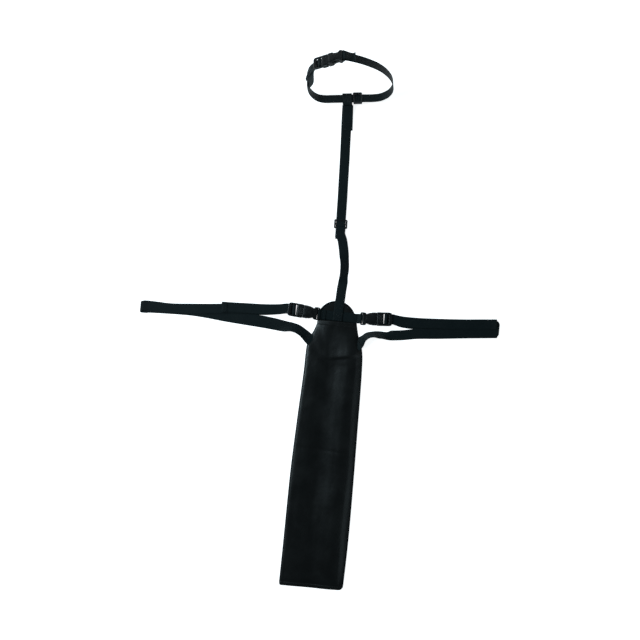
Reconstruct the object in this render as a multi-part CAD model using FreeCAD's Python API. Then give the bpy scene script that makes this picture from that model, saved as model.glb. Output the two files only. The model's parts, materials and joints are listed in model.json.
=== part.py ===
import FreeCAD, Part
import math
import os

# Tail sleeve harness: a long flat sleeve with an arched tongue, a cross strap with two buckled
# leg loops, and an adjustable back strap that ends in a buckled collar. Everything lies on the
# ground plane z = 0 except the collar, which stands on its edge. While modelling, the origin is
# the middle of the cross strap; the finished assembly is shifted to the bottom centre of its box.
# All sizes are in millimetres.

# Webbing
WEB_W = 20.0
WEB_T = 1.5
LAYER_GAP = 0.4
TUNNEL_GAP = 0.4

# Sleeve
SLEEVE_LENGTH = 567.0
SLEEVE_TOP_HALF = 58.0
SLEEVE_TIP_HALF = 67.0
SLEEVE_TAPER_END = 330.0
SLEEVE_TOP_SHIFT = 5.0
SLEEVE_TIP_SHIFT = 0.0
SLEEVE_HEIGHT = 13.0
SHOULDER_Y = -66.0
BACK_T = 1.9
FRONT_T = 1.6
NECK_HALF = 40.5
NECK_SHIFT = 4.5
NECK_END_Y = -36.0
NECK_END_HALF = 46.5
NECK_END_SHIFT = 3.5
TONGUE_FOOT_HALF = 36.0
TONGUE_FOOT_Y = 8.0
TONGUE_TOP = 31.0
TONGUE_SHIFT = 2.0
HEM_W = 9.0
HEM_T = 0.8
BINDING_W = 3.0
BINDING_T = 0.8
TACK_T = 0.5
TACK_INSET = 3.0

# Side-release buckle, measured from the outer face of the fixed bar
BUCKLE_BAR = 3.0
BUCKLE_BAR_H = 3.4
BUCKLE_SLOT_END = 7.0
BUCKLE_WAIST_START = 10.0
BUCKLE_WAIST_END = 24.0
BUCKLE_MOUTH = 34.0
SLOT_CLEAR = 0.5
BUCKLE_RAIL = 3.0
LADDER_SLOT_W = WEB_W + 2 * SLOT_CLEAR
BUCKLE_W = LADDER_SLOT_W + 2 * BUCKLE_RAIL
BUCKLE_WAIST_W = WEB_W
BUCKLE_H = 9.5
SOCKET_H = 5.0
SOCKET_WALL = 2.2
SOCKET_W = BUCKLE_W - 2 * SOCKET_WALL
SOCKET_BACK = 9.0
PLUG_GAP = 0.1
PLUG_CLEAR = 0.3
MALE_LIP = 0.75
MALE_W = BUCKLE_W + 2 * MALE_LIP
MALE_BASE_END = 46.0
MALE_BASE_H = 7.0
MID_BAR_START = 51.0
MID_BAR_END = 55.0
END_BAR_START = 59.0
MALE_END = 66.0
GUIDE_HALF = 2.5
GUIDE_TIP = 12.0
PRONG_TIP = 11.0
PRONG_HINGE = 31.5
PRONG_ARM = 3.0
PRONG_ROOM = 2.0
PRONG_TIP_OUT = SOCKET_W / 2 - PRONG_ROOM
PRONG_INNER = PRONG_TIP_OUT - PRONG_ARM
PRONG_HEAD_INSET = 0.5
PRONG_HEAD_OUT = BUCKLE_W / 2 - PRONG_HEAD_INSET
RELEASE_TRAVEL = 24.0

# Tri-glide slider
GLIDE_CLEAR = 0.3
GLIDE_RAIL = 3.55
GLIDE_W = WEB_W + 2 * (GLIDE_CLEAR + GLIDE_RAIL)
GLIDE_L = 19.0
GLIDE_H = 5.0
GLIDE_BAR = 3.0

# Layout of the straps on the ground, seen from above
LEFT_BUCKLE_AT = (-34.0, 0.9)
MOUTH_BELOW_BUCKLE = 1.4
MOUTH_Y = LEFT_BUCKLE_AT[1] - BUCKLE_W / 2 - MOUTH_BELOW_BUCKLE
LEFT_BUCKLE_HEADING = 175.5
RIGHT_BUCKLE_AT = (51.5, -0.8)
RIGHT_BUCKLE_HEADING = 3.9
BACK_HEADING = 1.92
BACK_GLIDE_AT = (-7.0, 191.0)
BACK_TAIL_LENGTH = 30.0
BACK_JOIN_LENGTH = 45.0
BACK_RISE_LENGTH = 24.0
BACK_UPPER_LENGTH = 244.0
BACK_TRAVEL_SHORTER = 50.0
SEWN_X = 4.5
SEWN_END_Y = -9.0
TAIL_HEM = 9.0

# Collar hoop, drawn in its own plane from the middle of the strap loop: its foot is straight
COLLAR_LEAN = 25.0
COLLAR_YAW = 6.5
FOOT_LEFT = -46.0
FOOT_RIGHT = 54.0
FOOT_SPLIT = -14.0
HOOP_RIGHT = [(69, 3), (84, 14), (92, 33), (89, 57), (79, 77), (62, 96), (38, 112)]
HOOP_RIGHT_END = (15, 123)
HOOP_LEFT = [(-75, 94), (-81, 76), (-82.5, 57), (-81, 39), (-77, 25), (-69, 12)]
HOOP_LEFT_END = (-59, 3.5)
COLLAR_BUCKLE_AT = (-6.4, 131.0)
COLLAR_BUCKLE_HEADING = 203.0
COLLAR_TAIL_MARKS = 3
BAND_ARRIVES = 183.0
BAND_LEAVES = 243.5
LADDER_OVERLAP = 1.0
EDGE_STEPS = 40
LOOP_TACK_START = 1.0
LOOP_TACK_LENGTH = 6.0
SWING_GAP = 3.2
SLIDER_SET_OFF = 1.4

# Heights of the strap layers above the ground
LOWER_Z = 0.0
UPPER_Z = LOWER_Z + WEB_T + LAYER_GAP
TAIL_Z = UPPER_Z + WEB_T
LADDER_Z = TAIL_Z + WEB_T
CROSS_Z = BACK_T
SEWN_Z = CROSS_Z + WEB_T
BACK_Z = WEB_T
BUCKLE_Z = LADDER_Z + 0.6
FIXED_BAR_Z = SEWN_Z - BUCKLE_Z
MALE_BAR_Z = LADDER_Z - BUCKLE_Z
STRAP_MID_Z = UPPER_Z + WEB_T / 2 - BUCKLE_Z

parts = {}


def vec(x, y, z=0.0):
    """A point or direction."""
    return FreeCAD.Vector(x, y, z)


def box(x0, x1, y0, y1, z0, z1):
    """A box between two corners."""
    return Part.makeBox(x1 - x0, y1 - y0, z1 - z0, vec(x0, y0, z0))


def prism(points, z0, height):
    """A straight prism on a closed outline of (x, y) points."""
    ring = [vec(x, y, z0) for x, y in points]
    ring.append(ring[0])
    return Part.Face(Part.makePolygon(ring)).extrude(vec(0, 0, height))


def fused(shapes):
    """One solid from touching solids, with the seams between coplanar faces removed."""
    whole = shapes[0]
    for other in shapes[1:]:
        whole = whole.fuse(other)
    return whole.removeSplitter()


def side_points(centre, offset):
    """The points of a polyline moved sideways by offset, with mitred corners."""
    moved = []
    last = len(centre) - 1
    for i, (x, y) in enumerate(centre):
        before = centre[max(i - 1, 0)]
        after = centre[min(i + 1, last)]
        if i == 0:
            before = centre[0]
        into = math.atan2(y - before[1], x - before[0]) if i else None
        out = math.atan2(after[1] - y, after[0] - x) if i < last else into
        into = out if into is None else into
        middle = (into + out) / 2
        stretch = offset / math.cos((out - into) / 2)
        moved.append((x - stretch * math.sin(middle), y + stretch * math.cos(middle)))
    return moved


def ribbon(centre, width, z0, height):
    """A flat band of one width along a polyline of (x, y) points."""
    left = side_points(centre, width / 2)
    right = side_points(centre, -width / 2)
    return prism(left + right[::-1], z0, height)


def offset_points(curve, offset, steps):
    """Points beside a flat curve, offset to the left of its direction."""
    first = curve.FirstParameter
    last = curve.LastParameter
    moved = []
    for k in range(steps + 1):
        at = first + (last - first) * k / steps
        tangent = curve.tangent(at)[0]
        point = curve.value(at)
        moved.append(vec(point.x - tangent.y * offset, point.y + tangent.x * offset))
    return moved


def bent_band(curve):
    """Webbing on its edge along a flat curve."""
    inner = Part.BSplineCurve()
    inner.interpolate(offset_points(curve, WEB_T / 2, EDGE_STEPS))
    outer = Part.BSplineCurve()
    outer.interpolate(offset_points(curve, -WEB_T / 2, EDGE_STEPS))
    start = Part.makeLine(outer.StartPoint, inner.StartPoint)
    end = Part.makeLine(outer.EndPoint, inner.EndPoint)
    outline = Part.Wire(Part.__sortEdges__([inner.toShape(), end, outer.toShape(), start]))
    band = Part.Face(outline).extrude(vec(0, 0, WEB_W))
    band.translate(vec(0, 0, -WEB_W / 2))
    return band


def heading(degrees):
    """A flat direction."""
    turn = math.radians(degrees)
    return vec(math.cos(turn), math.sin(turn))


def smooth_curve(points, first, last):
    """A curve through points, leaving and arriving in the given directions."""
    curve = Part.BSplineCurve()
    curve.interpolate(Points=[vec(x, y) for x, y in points], InitialTangent=first, FinalTangent=last)
    return curve


def squared(shape, x, outward):
    """A strap cut off square at one x, keeping the side towards the middle of the harness."""
    reach = 4 * WEB_W
    gone = box(*sorted([x, x + outward * reach]), shape.BoundBox.YMin, shape.BoundBox.YMax, 0, reach)
    return shape.cut(gone)


def placed(shape, placement):
    """A copy of a shape, carried by a placement."""
    moved = shape.copy()
    moved.Placement = placement.multiply(moved.Placement)
    return moved


def point_at(placement, x, y=0.0):
    """Where a point of a buckle or slider lies, seen from above."""
    p = placement.multVec(vec(x, y, 0))
    return (p.x, p.y)


# ---------------------------------------------------------------- side-release buckle


def buckle_outline():
    """The female half seen from above: a fixed bar frame, a waist and a wide mouth."""
    wide = BUCKLE_W / 2
    waist = BUCKLE_WAIST_W / 2
    upper = [
        (BUCKLE_SLOT_END, wide),
        (BUCKLE_WAIST_START, waist),
        (BUCKLE_WAIST_END, waist),
        (BUCKLE_WAIST_END, wide),
        (BUCKLE_MOUTH, wide),
    ]
    return upper + [(x, -y) for x, y in reversed(upper)]


def buckle_female():
    """The socket half, with the webbing bar at its end and open sides at the waist."""
    half_h = BUCKLE_H / 2
    shell = prism(buckle_outline(), -half_h, BUCKLE_H)
    socket = box(SOCKET_BACK, BUCKLE_MOUTH + 1, -SOCKET_W / 2, SOCKET_W / 2, -SOCKET_H / 2, SOCKET_H / 2)
    frame = box(0, BUCKLE_SLOT_END, -BUCKLE_W / 2, BUCKLE_W / 2, FIXED_BAR_Z, FIXED_BAR_Z + BUCKLE_BAR_H)
    slot_half = LADDER_SLOT_W / 2
    slot = box(BUCKLE_BAR, BUCKLE_SLOT_END, -slot_half, slot_half, -half_h, half_h)
    return fused([shell.cut(socket), frame.cut(slot)])


def buckle_male():
    """The plug half: guide tongue, base block and a ladder of two bars for the webbing."""
    half_w = MALE_W / 2
    plug_h = SOCKET_H - 2 * PLUG_CLEAR
    base_start = BUCKLE_MOUTH + PLUG_GAP
    base = box(base_start, MALE_BASE_END, -half_w, half_w, -MALE_BASE_H / 2, MALE_BASE_H / 2)
    root_half = SOCKET_W / 2 - PLUG_CLEAR
    root = box(PRONG_HINGE + 1.0, base_start, -root_half, root_half, -plug_h / 2, plug_h / 2)
    guide = box(GUIDE_TIP, base_start, -GUIDE_HALF, GUIDE_HALF, -plug_h / 2, plug_h / 2)
    ladder = box(MALE_BASE_END, MALE_END, -half_w, half_w, MALE_BAR_Z, MALE_BAR_Z + BUCKLE_BAR_H)
    slot_half = LADDER_SLOT_W / 2
    inner_slot = box(MALE_BASE_END, MID_BAR_START, -slot_half, slot_half, -BUCKLE_H, BUCKLE_H)
    outer_slot = box(MID_BAR_END, END_BAR_START, -slot_half, slot_half, -BUCKLE_H, BUCKLE_H)
    ladder = ladder.cut(inner_slot).cut(outer_slot)
    return fused([base, root, guide, ladder])


def buckle_prong(side):
    """One sprung prong: an arm from its root in the plug to a barbed head behind the mouth."""
    height = SOCKET_H - 2 * PLUG_CLEAR
    head_end = BUCKLE_WAIST_END - PLUG_CLEAR
    outline = [
        (PRONG_HINGE + 0.7, PRONG_INNER),
        (PRONG_HINGE + 0.7, PRONG_INNER + PRONG_ARM),
        (head_end, PRONG_INNER + PRONG_ARM),
        (head_end, PRONG_HEAD_OUT),
        (PRONG_TIP, PRONG_TIP_OUT),
        (PRONG_TIP, PRONG_INNER),
    ]
    return prism([(x, side * y) for x, y in outline], -height / 2, height)


def bar_wrap():
    """Webbing folded round the fixed bar and sewn back on itself, in the buckle's own frame."""
    half = WEB_W / 2
    low = FIXED_BAR_Z
    high = FIXED_BAR_Z + BUCKLE_BAR_H
    return fused([
        box(-WEB_T, BUCKLE_BAR + WEB_T, -half, half, low - WEB_T, low),
        box(BUCKLE_BAR, BUCKLE_BAR + WEB_T, -half, half, low, high),
        box(-WEB_T, BUCKLE_BAR + WEB_T, -half, half, high, high + WEB_T),
        box(-WEB_T, 0, -half, half, low, high),
    ])


def ladder_wrap():
    """Webbing threaded up past the middle bar, over it and down again, in the buckle's frame."""
    half = WEB_W / 2
    low = MALE_BAR_Z
    high = MALE_BAR_Z + BUCKLE_BAR_H
    strap = STRAP_MID_Z - WEB_T / 2
    return fused([
        box(MID_BAR_START - WEB_T, MALE_END, -half, half, strap, strap + WEB_T),
        box(MID_BAR_START - WEB_T, MID_BAR_START, -half, half, strap, high),
        box(MID_BAR_START - WEB_T, MID_BAR_END + WEB_T, -half, half, high, high + WEB_T),
        box(MID_BAR_END, MID_BAR_END + WEB_T, -half, half, low, high),
    ])


def add_buckle(prefix, placement):
    """The four rigid pieces of one buckle."""
    parts[prefix + "_buckle_female"] = placed(buckle_female(), placement)
    parts[prefix + "_buckle_male"] = placed(buckle_male(), placement)
    parts[prefix + "_prong_front"] = placed(buckle_prong(-1), placement)
    parts[prefix + "_prong_back"] = placed(buckle_prong(1), placement)


# ---------------------------------------------------------------- tri-glide slider


def tri_glide():
    """A slider whose outer bars lie over the webbing and whose middle bar lies under it."""
    half_w = GLIDE_W / 2
    half_l = GLIDE_L / 2
    inner = WEB_W / 2 + GLIDE_CLEAR
    strap_low = BACK_Z - GLIDE_CLEAR
    strap_high = BACK_Z + WEB_T + GLIDE_CLEAR
    rails = [
        box(-half_w, -inner, -half_l, half_l, 0, GLIDE_H),
        box(inner, half_w, -half_l, half_l, 0, GLIDE_H),
    ]
    bars = [
        box(-half_w, half_w, -half_l, -half_l + GLIDE_BAR, strap_high, GLIDE_H),
        box(-half_w, half_w, half_l - GLIDE_BAR, half_l, strap_high, GLIDE_H),
        box(-half_w, half_w, -GLIDE_BAR / 2, GLIDE_BAR / 2, 0, strap_low),
    ]
    return fused(rails + bars)


# ---------------------------------------------------------------- sleeve


def half_width(y):
    """Half the sleeve's width at a distance along it."""
    run = min(max((SHOULDER_Y - y) / (SLEEVE_TAPER_END + SHOULDER_Y), 0.0), 1.0)
    return SLEEVE_TOP_HALF + (SLEEVE_TIP_HALF - SLEEVE_TOP_HALF) * run


def shift(y):
    """How far the sleeve's middle lies to the right at a distance along it."""
    run = min(max((SHOULDER_Y - y) / (SLEEVE_LENGTH + SHOULDER_Y), 0.0), 1.0)
    return SLEEVE_TOP_SHIFT + (SLEEVE_TIP_SHIFT - SLEEVE_TOP_SHIFT) * run


def sleeve_side(side, inset=0.0):
    """One long edge of the sleeve, from the neck down to the tip."""
    rows = [MOUTH_Y, NECK_END_Y, SHOULDER_Y, -SLEEVE_TAPER_END, -SLEEVE_LENGTH + inset]
    halves = [NECK_HALF, NECK_END_HALF]
    halves += [half_width(y) for y in rows[2:]]
    middles = [NECK_SHIFT, NECK_END_SHIFT]
    middles += [shift(y) for y in rows[2:]]
    return [(middles[i] + side * (halves[i] - inset), rows[i]) for i in range(len(rows))]


def sleeve_back_panel():
    """The rear panel, whose top end is the arched tongue."""
    left = sleeve_side(-1)
    right = sleeve_side(1)
    foot_left = vec(TONGUE_SHIFT - TONGUE_FOOT_HALF, TONGUE_FOOT_Y)
    foot_right = vec(TONGUE_SHIFT + TONGUE_FOOT_HALF, TONGUE_FOOT_Y)
    arch = Part.Arc(foot_left, vec(TONGUE_SHIFT, TONGUE_TOP), foot_right).toShape()
    corners = [foot_right] + [vec(x, y) for x, y in right + left[::-1]] + [foot_left]
    return Part.Face(Part.Wire([arch] + Part.makePolygon(corners).Edges)).extrude(vec(0, 0, BACK_T))


def sleeve_front_panel():
    """The front panel: a shallow trough over the rear panel, open at the mouth only."""
    outer = prism(sleeve_side(-1) + sleeve_side(1)[::-1], BACK_T, SLEEVE_HEIGHT - BACK_T)
    left = sleeve_side(-1, FRONT_T)
    right = sleeve_side(1, FRONT_T)
    left[0] = (left[0][0], MOUTH_Y + 1.0)
    right[0] = (right[0][0], MOUTH_Y + 1.0)
    return outer.cut(prism(left + right[::-1], BACK_T, SLEEVE_HEIGHT - BACK_T - FRONT_T))


def tongue_binding():
    """Edge binding round the arch and down the neck, interrupted where the cross strap passes."""
    reach = TONGUE_TOP + 20.0
    edge = sleeve_back_panel().common(box(-reach, reach, MOUTH_Y, reach, 0, BACK_T))
    inner_half = TONGUE_FOOT_HALF - BINDING_W
    foot_left = vec(TONGUE_SHIFT - inner_half, TONGUE_FOOT_Y)
    foot_right = vec(TONGUE_SHIFT + inner_half, TONGUE_FOOT_Y)
    top = vec(TONGUE_SHIFT, TONGUE_TOP - BINDING_W)
    arch = Part.Arc(foot_left, top, foot_right).toShape()
    neck_inner = NECK_HALF - BINDING_W
    neck_right = vec(NECK_SHIFT + neck_inner, MOUTH_Y - 1)
    neck_left = vec(NECK_SHIFT - neck_inner, MOUTH_Y - 1)
    corners = [foot_right, neck_right, neck_left, foot_left]
    inside = Part.Face(Part.Wire([arch] + Part.makePolygon(corners).Edges)).extrude(vec(0, 0, BACK_T))
    rim = edge.cut(inside)
    band = WEB_W / 2 + LAYER_GAP
    rim = rim.cut(box(-reach, reach, -band, band, 0, BACK_T))
    rim = rim.common(box(-reach, reach, MOUTH_Y, reach, 0, BINDING_T))
    rim.translate(vec(0, 0, BACK_T))
    return rim


def add_sleeve():
    """The sleeve's two panels with their hems, seam binding and tongue binding."""
    parts["sleeve_back"] = sleeve_back_panel()
    parts["sleeve_front"] = sleeve_front_panel()
    left = sleeve_side(-1)
    right = sleeve_side(1)
    mouth = [left[0], right[0], (right[0][0], MOUTH_Y - HEM_W), (left[0][0], MOUTH_Y - HEM_W)]
    parts["mouth_hem"] = prism(mouth, SLEEVE_HEIGHT, HEM_T)
    tip_y = -SLEEVE_LENGTH
    tip = [(left[-1][0], tip_y), (right[-1][0] - BINDING_W, tip_y)]
    tip += [(right[-1][0] - BINDING_W, tip_y + HEM_W), (left[-1][0], tip_y + HEM_W)]
    parts["tip_hem"] = prism(tip, SLEEVE_HEIGHT, HEM_T)
    seam = side_points(right[2:], -BINDING_W / 2)
    parts["side_seam_binding"] = ribbon(seam, BINDING_W, SLEEVE_HEIGHT, BINDING_T)
    parts["tongue_binding"] = tongue_binding()


# ---------------------------------------------------------------- leg loops


def leg_bartack(end, heading):
    """The dense sewn patch where a leg strap is caught at the sleeve's edge."""
    turn = FreeCAD.Rotation(vec(0, 0, 1), heading)
    patch = box(-2.5, 2.5, -WEB_W / 2 + TACK_INSET, WEB_W / 2 - TACK_INSET, 0, TACK_T)
    return placed(patch, FreeCAD.Placement(vec(end[0], end[1], SLEEVE_HEIGHT), turn))


def add_leg(side, placement, upper_points, lower_points, tail_points, tack):
    """One leg loop: buckle, threaded upper strap with its free tail, end fold and lower strap."""
    add_buckle(side, placement)
    ladder_start = point_at(placement, MID_BAR_START)
    ladder_end = point_at(placement, MALE_END + 3.0)
    end_up = upper_points[-1]
    end_low = lower_points[0]
    outward = 1 if end_up[0] > 0 else -1
    past_up = (end_up[0] + outward * WEB_T, end_up[1])
    run = ribbon([ladder_start, ladder_end] + upper_points[:-1] + [past_up], WEB_W, UPPER_Z, WEB_T)
    run = squared(run, end_up[0], outward)
    parts[side + "_leg_upper"] = fused([placed(ladder_wrap(), placement), run])
    tail_start = point_at(placement, MID_BAR_END)
    tail = ribbon([tail_start, ladder_end] + tail_points, WEB_W, TAIL_Z, WEB_T)
    tail_end = tail_points[-1]
    before = ladder_end if len(tail_points) == 1 else tail_points[-2]
    reach = math.dist(before, tail_end)
    back = TAIL_HEM / reach
    hem_x = tail_end[0] + (before[0] - tail_end[0]) * back
    hem_y = tail_end[1] + (before[1] - tail_end[1]) * back
    hem_start = (hem_x, hem_y)
    parts[side + "_leg_tail"] = tail.cut(parts[side + "_leg_upper"])
    parts[side + "_tail_hem"] = ribbon([hem_start, tail_end], WEB_W, TAIL_Z + WEB_T, WEB_T)
    low_y = min(end_up[1], end_low[1]) - WEB_W / 2
    high_y = max(end_up[1], end_low[1]) + WEB_W / 2
    radius = (UPPER_Z + WEB_T) / 2
    bend = Part.makeCylinder(radius, high_y - low_y, vec(end_up[0], low_y, radius), vec(0, 1, 0))
    half = box(*sorted([end_up[0], end_up[0] + outward * radius]), low_y, high_y, 0, 2 * radius)
    parts[side + "_leg_fold"] = bend.common(half)
    past_low = (end_low[0] + outward * WEB_T, end_low[1])
    lower = ribbon([past_low] + lower_points[1:], WEB_W, LOWER_Z, WEB_T)
    lower = squared(lower, end_low[0] - outward * LAYER_GAP, outward)
    lower = lower.cut(parts["sleeve_back"]).cut(parts["sleeve_front"])
    parts[side + "_leg_lower"] = max(lower.Solids, key=lambda solid: solid.Volume)
    parts[side + "_leg_bartack"] = leg_bartack(*tack)


# ---------------------------------------------------------------- assembly

def flat_buckle(at, degrees):
    """Where a buckle lies on the ground straps."""
    turn = FreeCAD.Rotation(vec(0, 0, 1), degrees)
    return FreeCAD.Placement(vec(at[0], at[1], BUCKLE_Z), turn)


left_buckle = flat_buckle(LEFT_BUCKLE_AT, LEFT_BUCKLE_HEADING)
right_buckle = flat_buckle(RIGHT_BUCKLE_AT, RIGHT_BUCKLE_HEADING)

add_sleeve()
left_low = [(-402.0, -18.0), (-297.0, -16.6), (-229.0, -21.0), (-150.0, -26.0)]
left_low += [(-112.0, -29.5), (-80.0, -32.0), (-38.0, -60.0)]
add_leg(
    "left",
    left_buckle,
    upper_points=[(-234.0, -4.0), (-402.0, -18.0)],
    lower_points=left_low,
    tail_points=[(-234.0, -4.0)],
    tack=((-44.0, -56.0), 45.0),
)
right_low = [(337.0, -4.5), (267.0, -11.5), (170.0, -22.5), (112.0, -30.0), (78.0, -32.5), (44.0, -60.0)]
add_leg(
    "right",
    right_buckle,
    upper_points=[(168.0, 0.5), (265.0, 6.8), (337.0, 12.3)],
    lower_points=right_low,
    tail_points=[(168.0, 0.5), (265.0, 6.8), (334.0, 12.1)],
    tack=((52.0, -53.5), -30.0),
)

# Cross strap, folded round both fixed bars
left_bar = point_at(left_buckle, 0)
right_bar = point_at(right_buckle, 0)
cross = [
    ribbon([left_bar, right_bar], WEB_W, CROSS_Z, WEB_T),
    placed(bar_wrap(), left_buckle),
    placed(bar_wrap(), right_buckle),
]
parts["cross_strap"] = fused(cross)
parts["tongue_binding"] = parts["tongue_binding"].cut(parts["cross_strap"])

# Back strap: the lower part is sewn over the cross strap and holds the slider
glide_turn = FreeCAD.Rotation(vec(0, 0, 1), BACK_HEADING)
back_glide = FreeCAD.Placement(vec(*BACK_GLIDE_AT, 0), glide_turn)
parts["back_slider"] = placed(tri_glide(), back_glide)
lower_run = [(SEWN_X, SEWN_END_Y), (5.5, 31.0), (9.0, 80.0), (8.5, 109.0), (2.5, 145.0)]
lower_run.append(point_at(back_glide, 0, -GLIDE_L / 2))
back_lower = ribbon(lower_run, WEB_W, SEWN_Z, WEB_T)
parts["back_strap_lower"] = back_lower.cut(parts["back_slider"])
tack_half = WEB_W / 2 - TACK_INSET
tack_low = SEWN_Z + WEB_T
tongue_tack = box(-tack_half, tack_half, -tack_half, tack_half, tack_low, tack_low + TACK_T)
tongue_tack.translate(vec(SEWN_X, 0))
parts["tongue_bartack"] = tongue_tack

# Back strap: the upper part slides through the slider and ends folded back at the collar
upper_flat = BACK_UPPER_LENGTH - BACK_JOIN_LENGTH
half_web = WEB_W / 2
join_end = BACK_UPPER_LENGTH - BACK_RISE_LENGTH
upper_body = box(-half_web, half_web, -BACK_TAIL_LENGTH, join_end, BACK_Z, BACK_Z + WEB_T)
fold_back = box(-half_web, half_web, upper_flat, join_end, BACK_Z + WEB_T, BACK_Z + 2 * WEB_T)

# Collar hoop: drawn flat in its own plane with its axis along Z, then stood up and leant back
loop_half = WEB_W / 2 + TUNNEL_GAP
loop_out = loop_half + WEB_T
tunnel_half = WEB_T / 2 + TUNNEL_GAP
loop_deep = tunnel_half + WEB_T
lean = math.radians(COLLAR_LEAN)
loop_reach = loop_deep * math.cos(lean) + loop_out * math.sin(lean)
glide_reach = (BACK_Z + WEB_T / 2) * math.cos(lean) + GLIDE_W / 2 * math.sin(lean)
collar_height = max(loop_reach, glide_reach)
near_edge_z = collar_height - loop_deep * math.cos(lean) + loop_out * math.sin(lean)
rise_top = near_edge_z + loop_deep
rise = [
    vec(-half_web, join_end, BACK_Z),
    vec(-half_web, BACK_UPPER_LENGTH, rise_top - WEB_T),
    vec(-half_web, BACK_UPPER_LENGTH, rise_top + WEB_T),
    vec(-half_web, join_end, BACK_Z + 2 * WEB_T),
]
ramp = Part.Face(Part.makePolygon(rise + [rise[0]])).extrude(vec(WEB_W, 0, 0))
parts["back_strap_upper"] = placed(fused([upper_body, fold_back, ramp]), back_glide)
hem_end = -BACK_TAIL_LENGTH + TAIL_HEM
tail_hem_box = box(-half_web, half_web, -BACK_TAIL_LENGTH, hem_end, BACK_Z - WEB_T, BACK_Z)
parts["back_tail_hem"] = placed(tail_hem_box, back_glide)
tack_start = upper_flat + LOOP_TACK_START
loop_tack = box(-tack_half, tack_half, tack_start, tack_start + LOOP_TACK_LENGTH, 0, TACK_T)
loop_tack.translate(vec(0, 0, BACK_Z + 2 * WEB_T))
parts["back_loop_bartack"] = placed(loop_tack, back_glide)

# The hoop stands just beyond the end of the upper back strap
strap_end = back_glide.multVec(vec(0, BACK_UPPER_LENGTH, 0))
stand = FreeCAD.Rotation(vec(0, 0, 1), COLLAR_YAW)
stand = stand.multiply(FreeCAD.Rotation(vec(1, 0, 0), -COLLAR_LEAN))
stand = stand.multiply(FreeCAD.Rotation(vec(1, 0, 0), 90.0))
yaw = math.radians(COLLAR_YAW)
near_offset = loop_deep * math.sin(lean) + loop_out * math.cos(lean)
corner_slack = half_web * abs(math.tan(math.radians(COLLAR_YAW - BACK_HEADING)))
into = near_offset + corner_slack + SWING_GAP
collar_x = strap_end.x - into * math.sin(yaw)
collar_y = strap_end.y + into * math.cos(yaw)
collar = FreeCAD.Placement(vec(collar_x, collar_y, collar_height), stand)

tunnel = box(-half_web, half_web, -loop_deep, loop_deep, -loop_out, loop_out)
hole = box(-half_web - 1, half_web + 1, -tunnel_half, tunnel_half, -loop_half, loop_half)
parts["back_strap_loop"] = placed(tunnel.cut(hole), collar)

# The buckle bridges the top left of the hoop; its webbing level meets the band at both ends
along = heading(COLLAR_BUCKLE_HEADING)
outward = vec(along.y, -along.x)
start = vec(*COLLAR_BUCKLE_AT) - outward * STRAP_MID_Z
across = outward.cross(along)
matrix = FreeCAD.Matrix(
    along.x, across.x, outward.x, start.x,
    along.y, across.y, outward.y, start.y,
    along.z, across.z, outward.z, start.z,
)
in_hoop = FreeCAD.Placement(matrix)
collar_buckle = collar.multiply(in_hoop)
add_buckle("collar", collar_buckle)

level = vec(1, 0)
marks_right = [(FOOT_RIGHT, 0.0)] + HOOP_RIGHT + [HOOP_RIGHT_END, COLLAR_BUCKLE_AT]
to_bar = smooth_curve(marks_right, level, heading(BAND_ARRIVES))
foot_to_right = box(FOOT_SPLIT, FOOT_RIGHT, -WEB_T / 2, WEB_T / 2, -half_web, half_web)
band_right = fused([foot_to_right, bent_band(to_bar), placed(bar_wrap(), in_hoop)])
parts["collar_band_right"] = placed(band_right, collar).cut(parts["collar_buckle_female"])
marks_left = HOOP_LEFT + [HOOP_LEFT_END, (FOOT_LEFT, 0.0)]
from_ladder = smooth_curve(marks_left, heading(BAND_LEAVES), level)
foot_to_left = box(FOOT_LEFT, FOOT_SPLIT, -WEB_T / 2, WEB_T / 2, -half_web, half_web)
band_left = fused([foot_to_left, bent_band(from_ladder)])
parts["collar_band_left"] = placed(band_left, collar)

# The free tail leaves the ladder and lies outside the band on its left
ladder_end = in_hoop.multVec(vec(MALE_END - LADDER_OVERLAP, 0, STRAP_MID_Z))
layer = WEB_T + LAYER_GAP
outside = offset_points(from_ladder, -layer, len(HOOP_LEFT) + 1)
tail_marks = [(ladder_end.x, ladder_end.y)] + [(p.x, p.y) for p in outside[:COLLAR_TAIL_MARKS]]
tail_curve = smooth_curve(tail_marks, along, outside[COLLAR_TAIL_MARKS] - outside[COLLAR_TAIL_MARKS - 1])
tail_solid = fused([placed(ladder_wrap(), in_hoop), bent_band(tail_curve)])
parts["collar_tail"] = placed(tail_solid, collar).cut(parts["collar_buckle_male"])

# The collar's slider sits on the foot beside the strap loop, its middle bar outside the band
glide_x = half_web + GLIDE_L / 2 + SLIDER_SET_OFF
on_foot = FreeCAD.Placement(FreeCAD.Matrix(
    0, 1, 0, glide_x,
    0, 0, 1, -BACK_Z - WEB_T / 2,
    1, 0, 0, 0,
))
parts["collar_slider"] = placed(tri_glide(), collar.multiply(on_foot))

# Shift the assembly to the bottom centre of its box and write one file per node
whole = FreeCAD.BoundBox()
for shape in parts.values():
    whole.add(shape.optimalBoundingBox())
to_frame = vec(-(whole.XMin + whole.XMax) / 2, -(whole.YMin + whole.YMax) / 2, -whole.ZMin)
os.makedirs("parts", exist_ok=True)
for name, shape in parts.items():
    shape.translate(to_frame)
    shape.exportStep("parts/" + name + ".step")
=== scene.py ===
"""Looks of a tail sleeve harness: coated cloth sleeve, nylon webbing, moulded buckles and sliders."""

import bisect
import json
import logging
import math
from dataclasses import dataclass, field
from enum import Enum

import bmesh
import bpy
from mathutils import Matrix, Quaternion, Vector, noise


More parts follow.
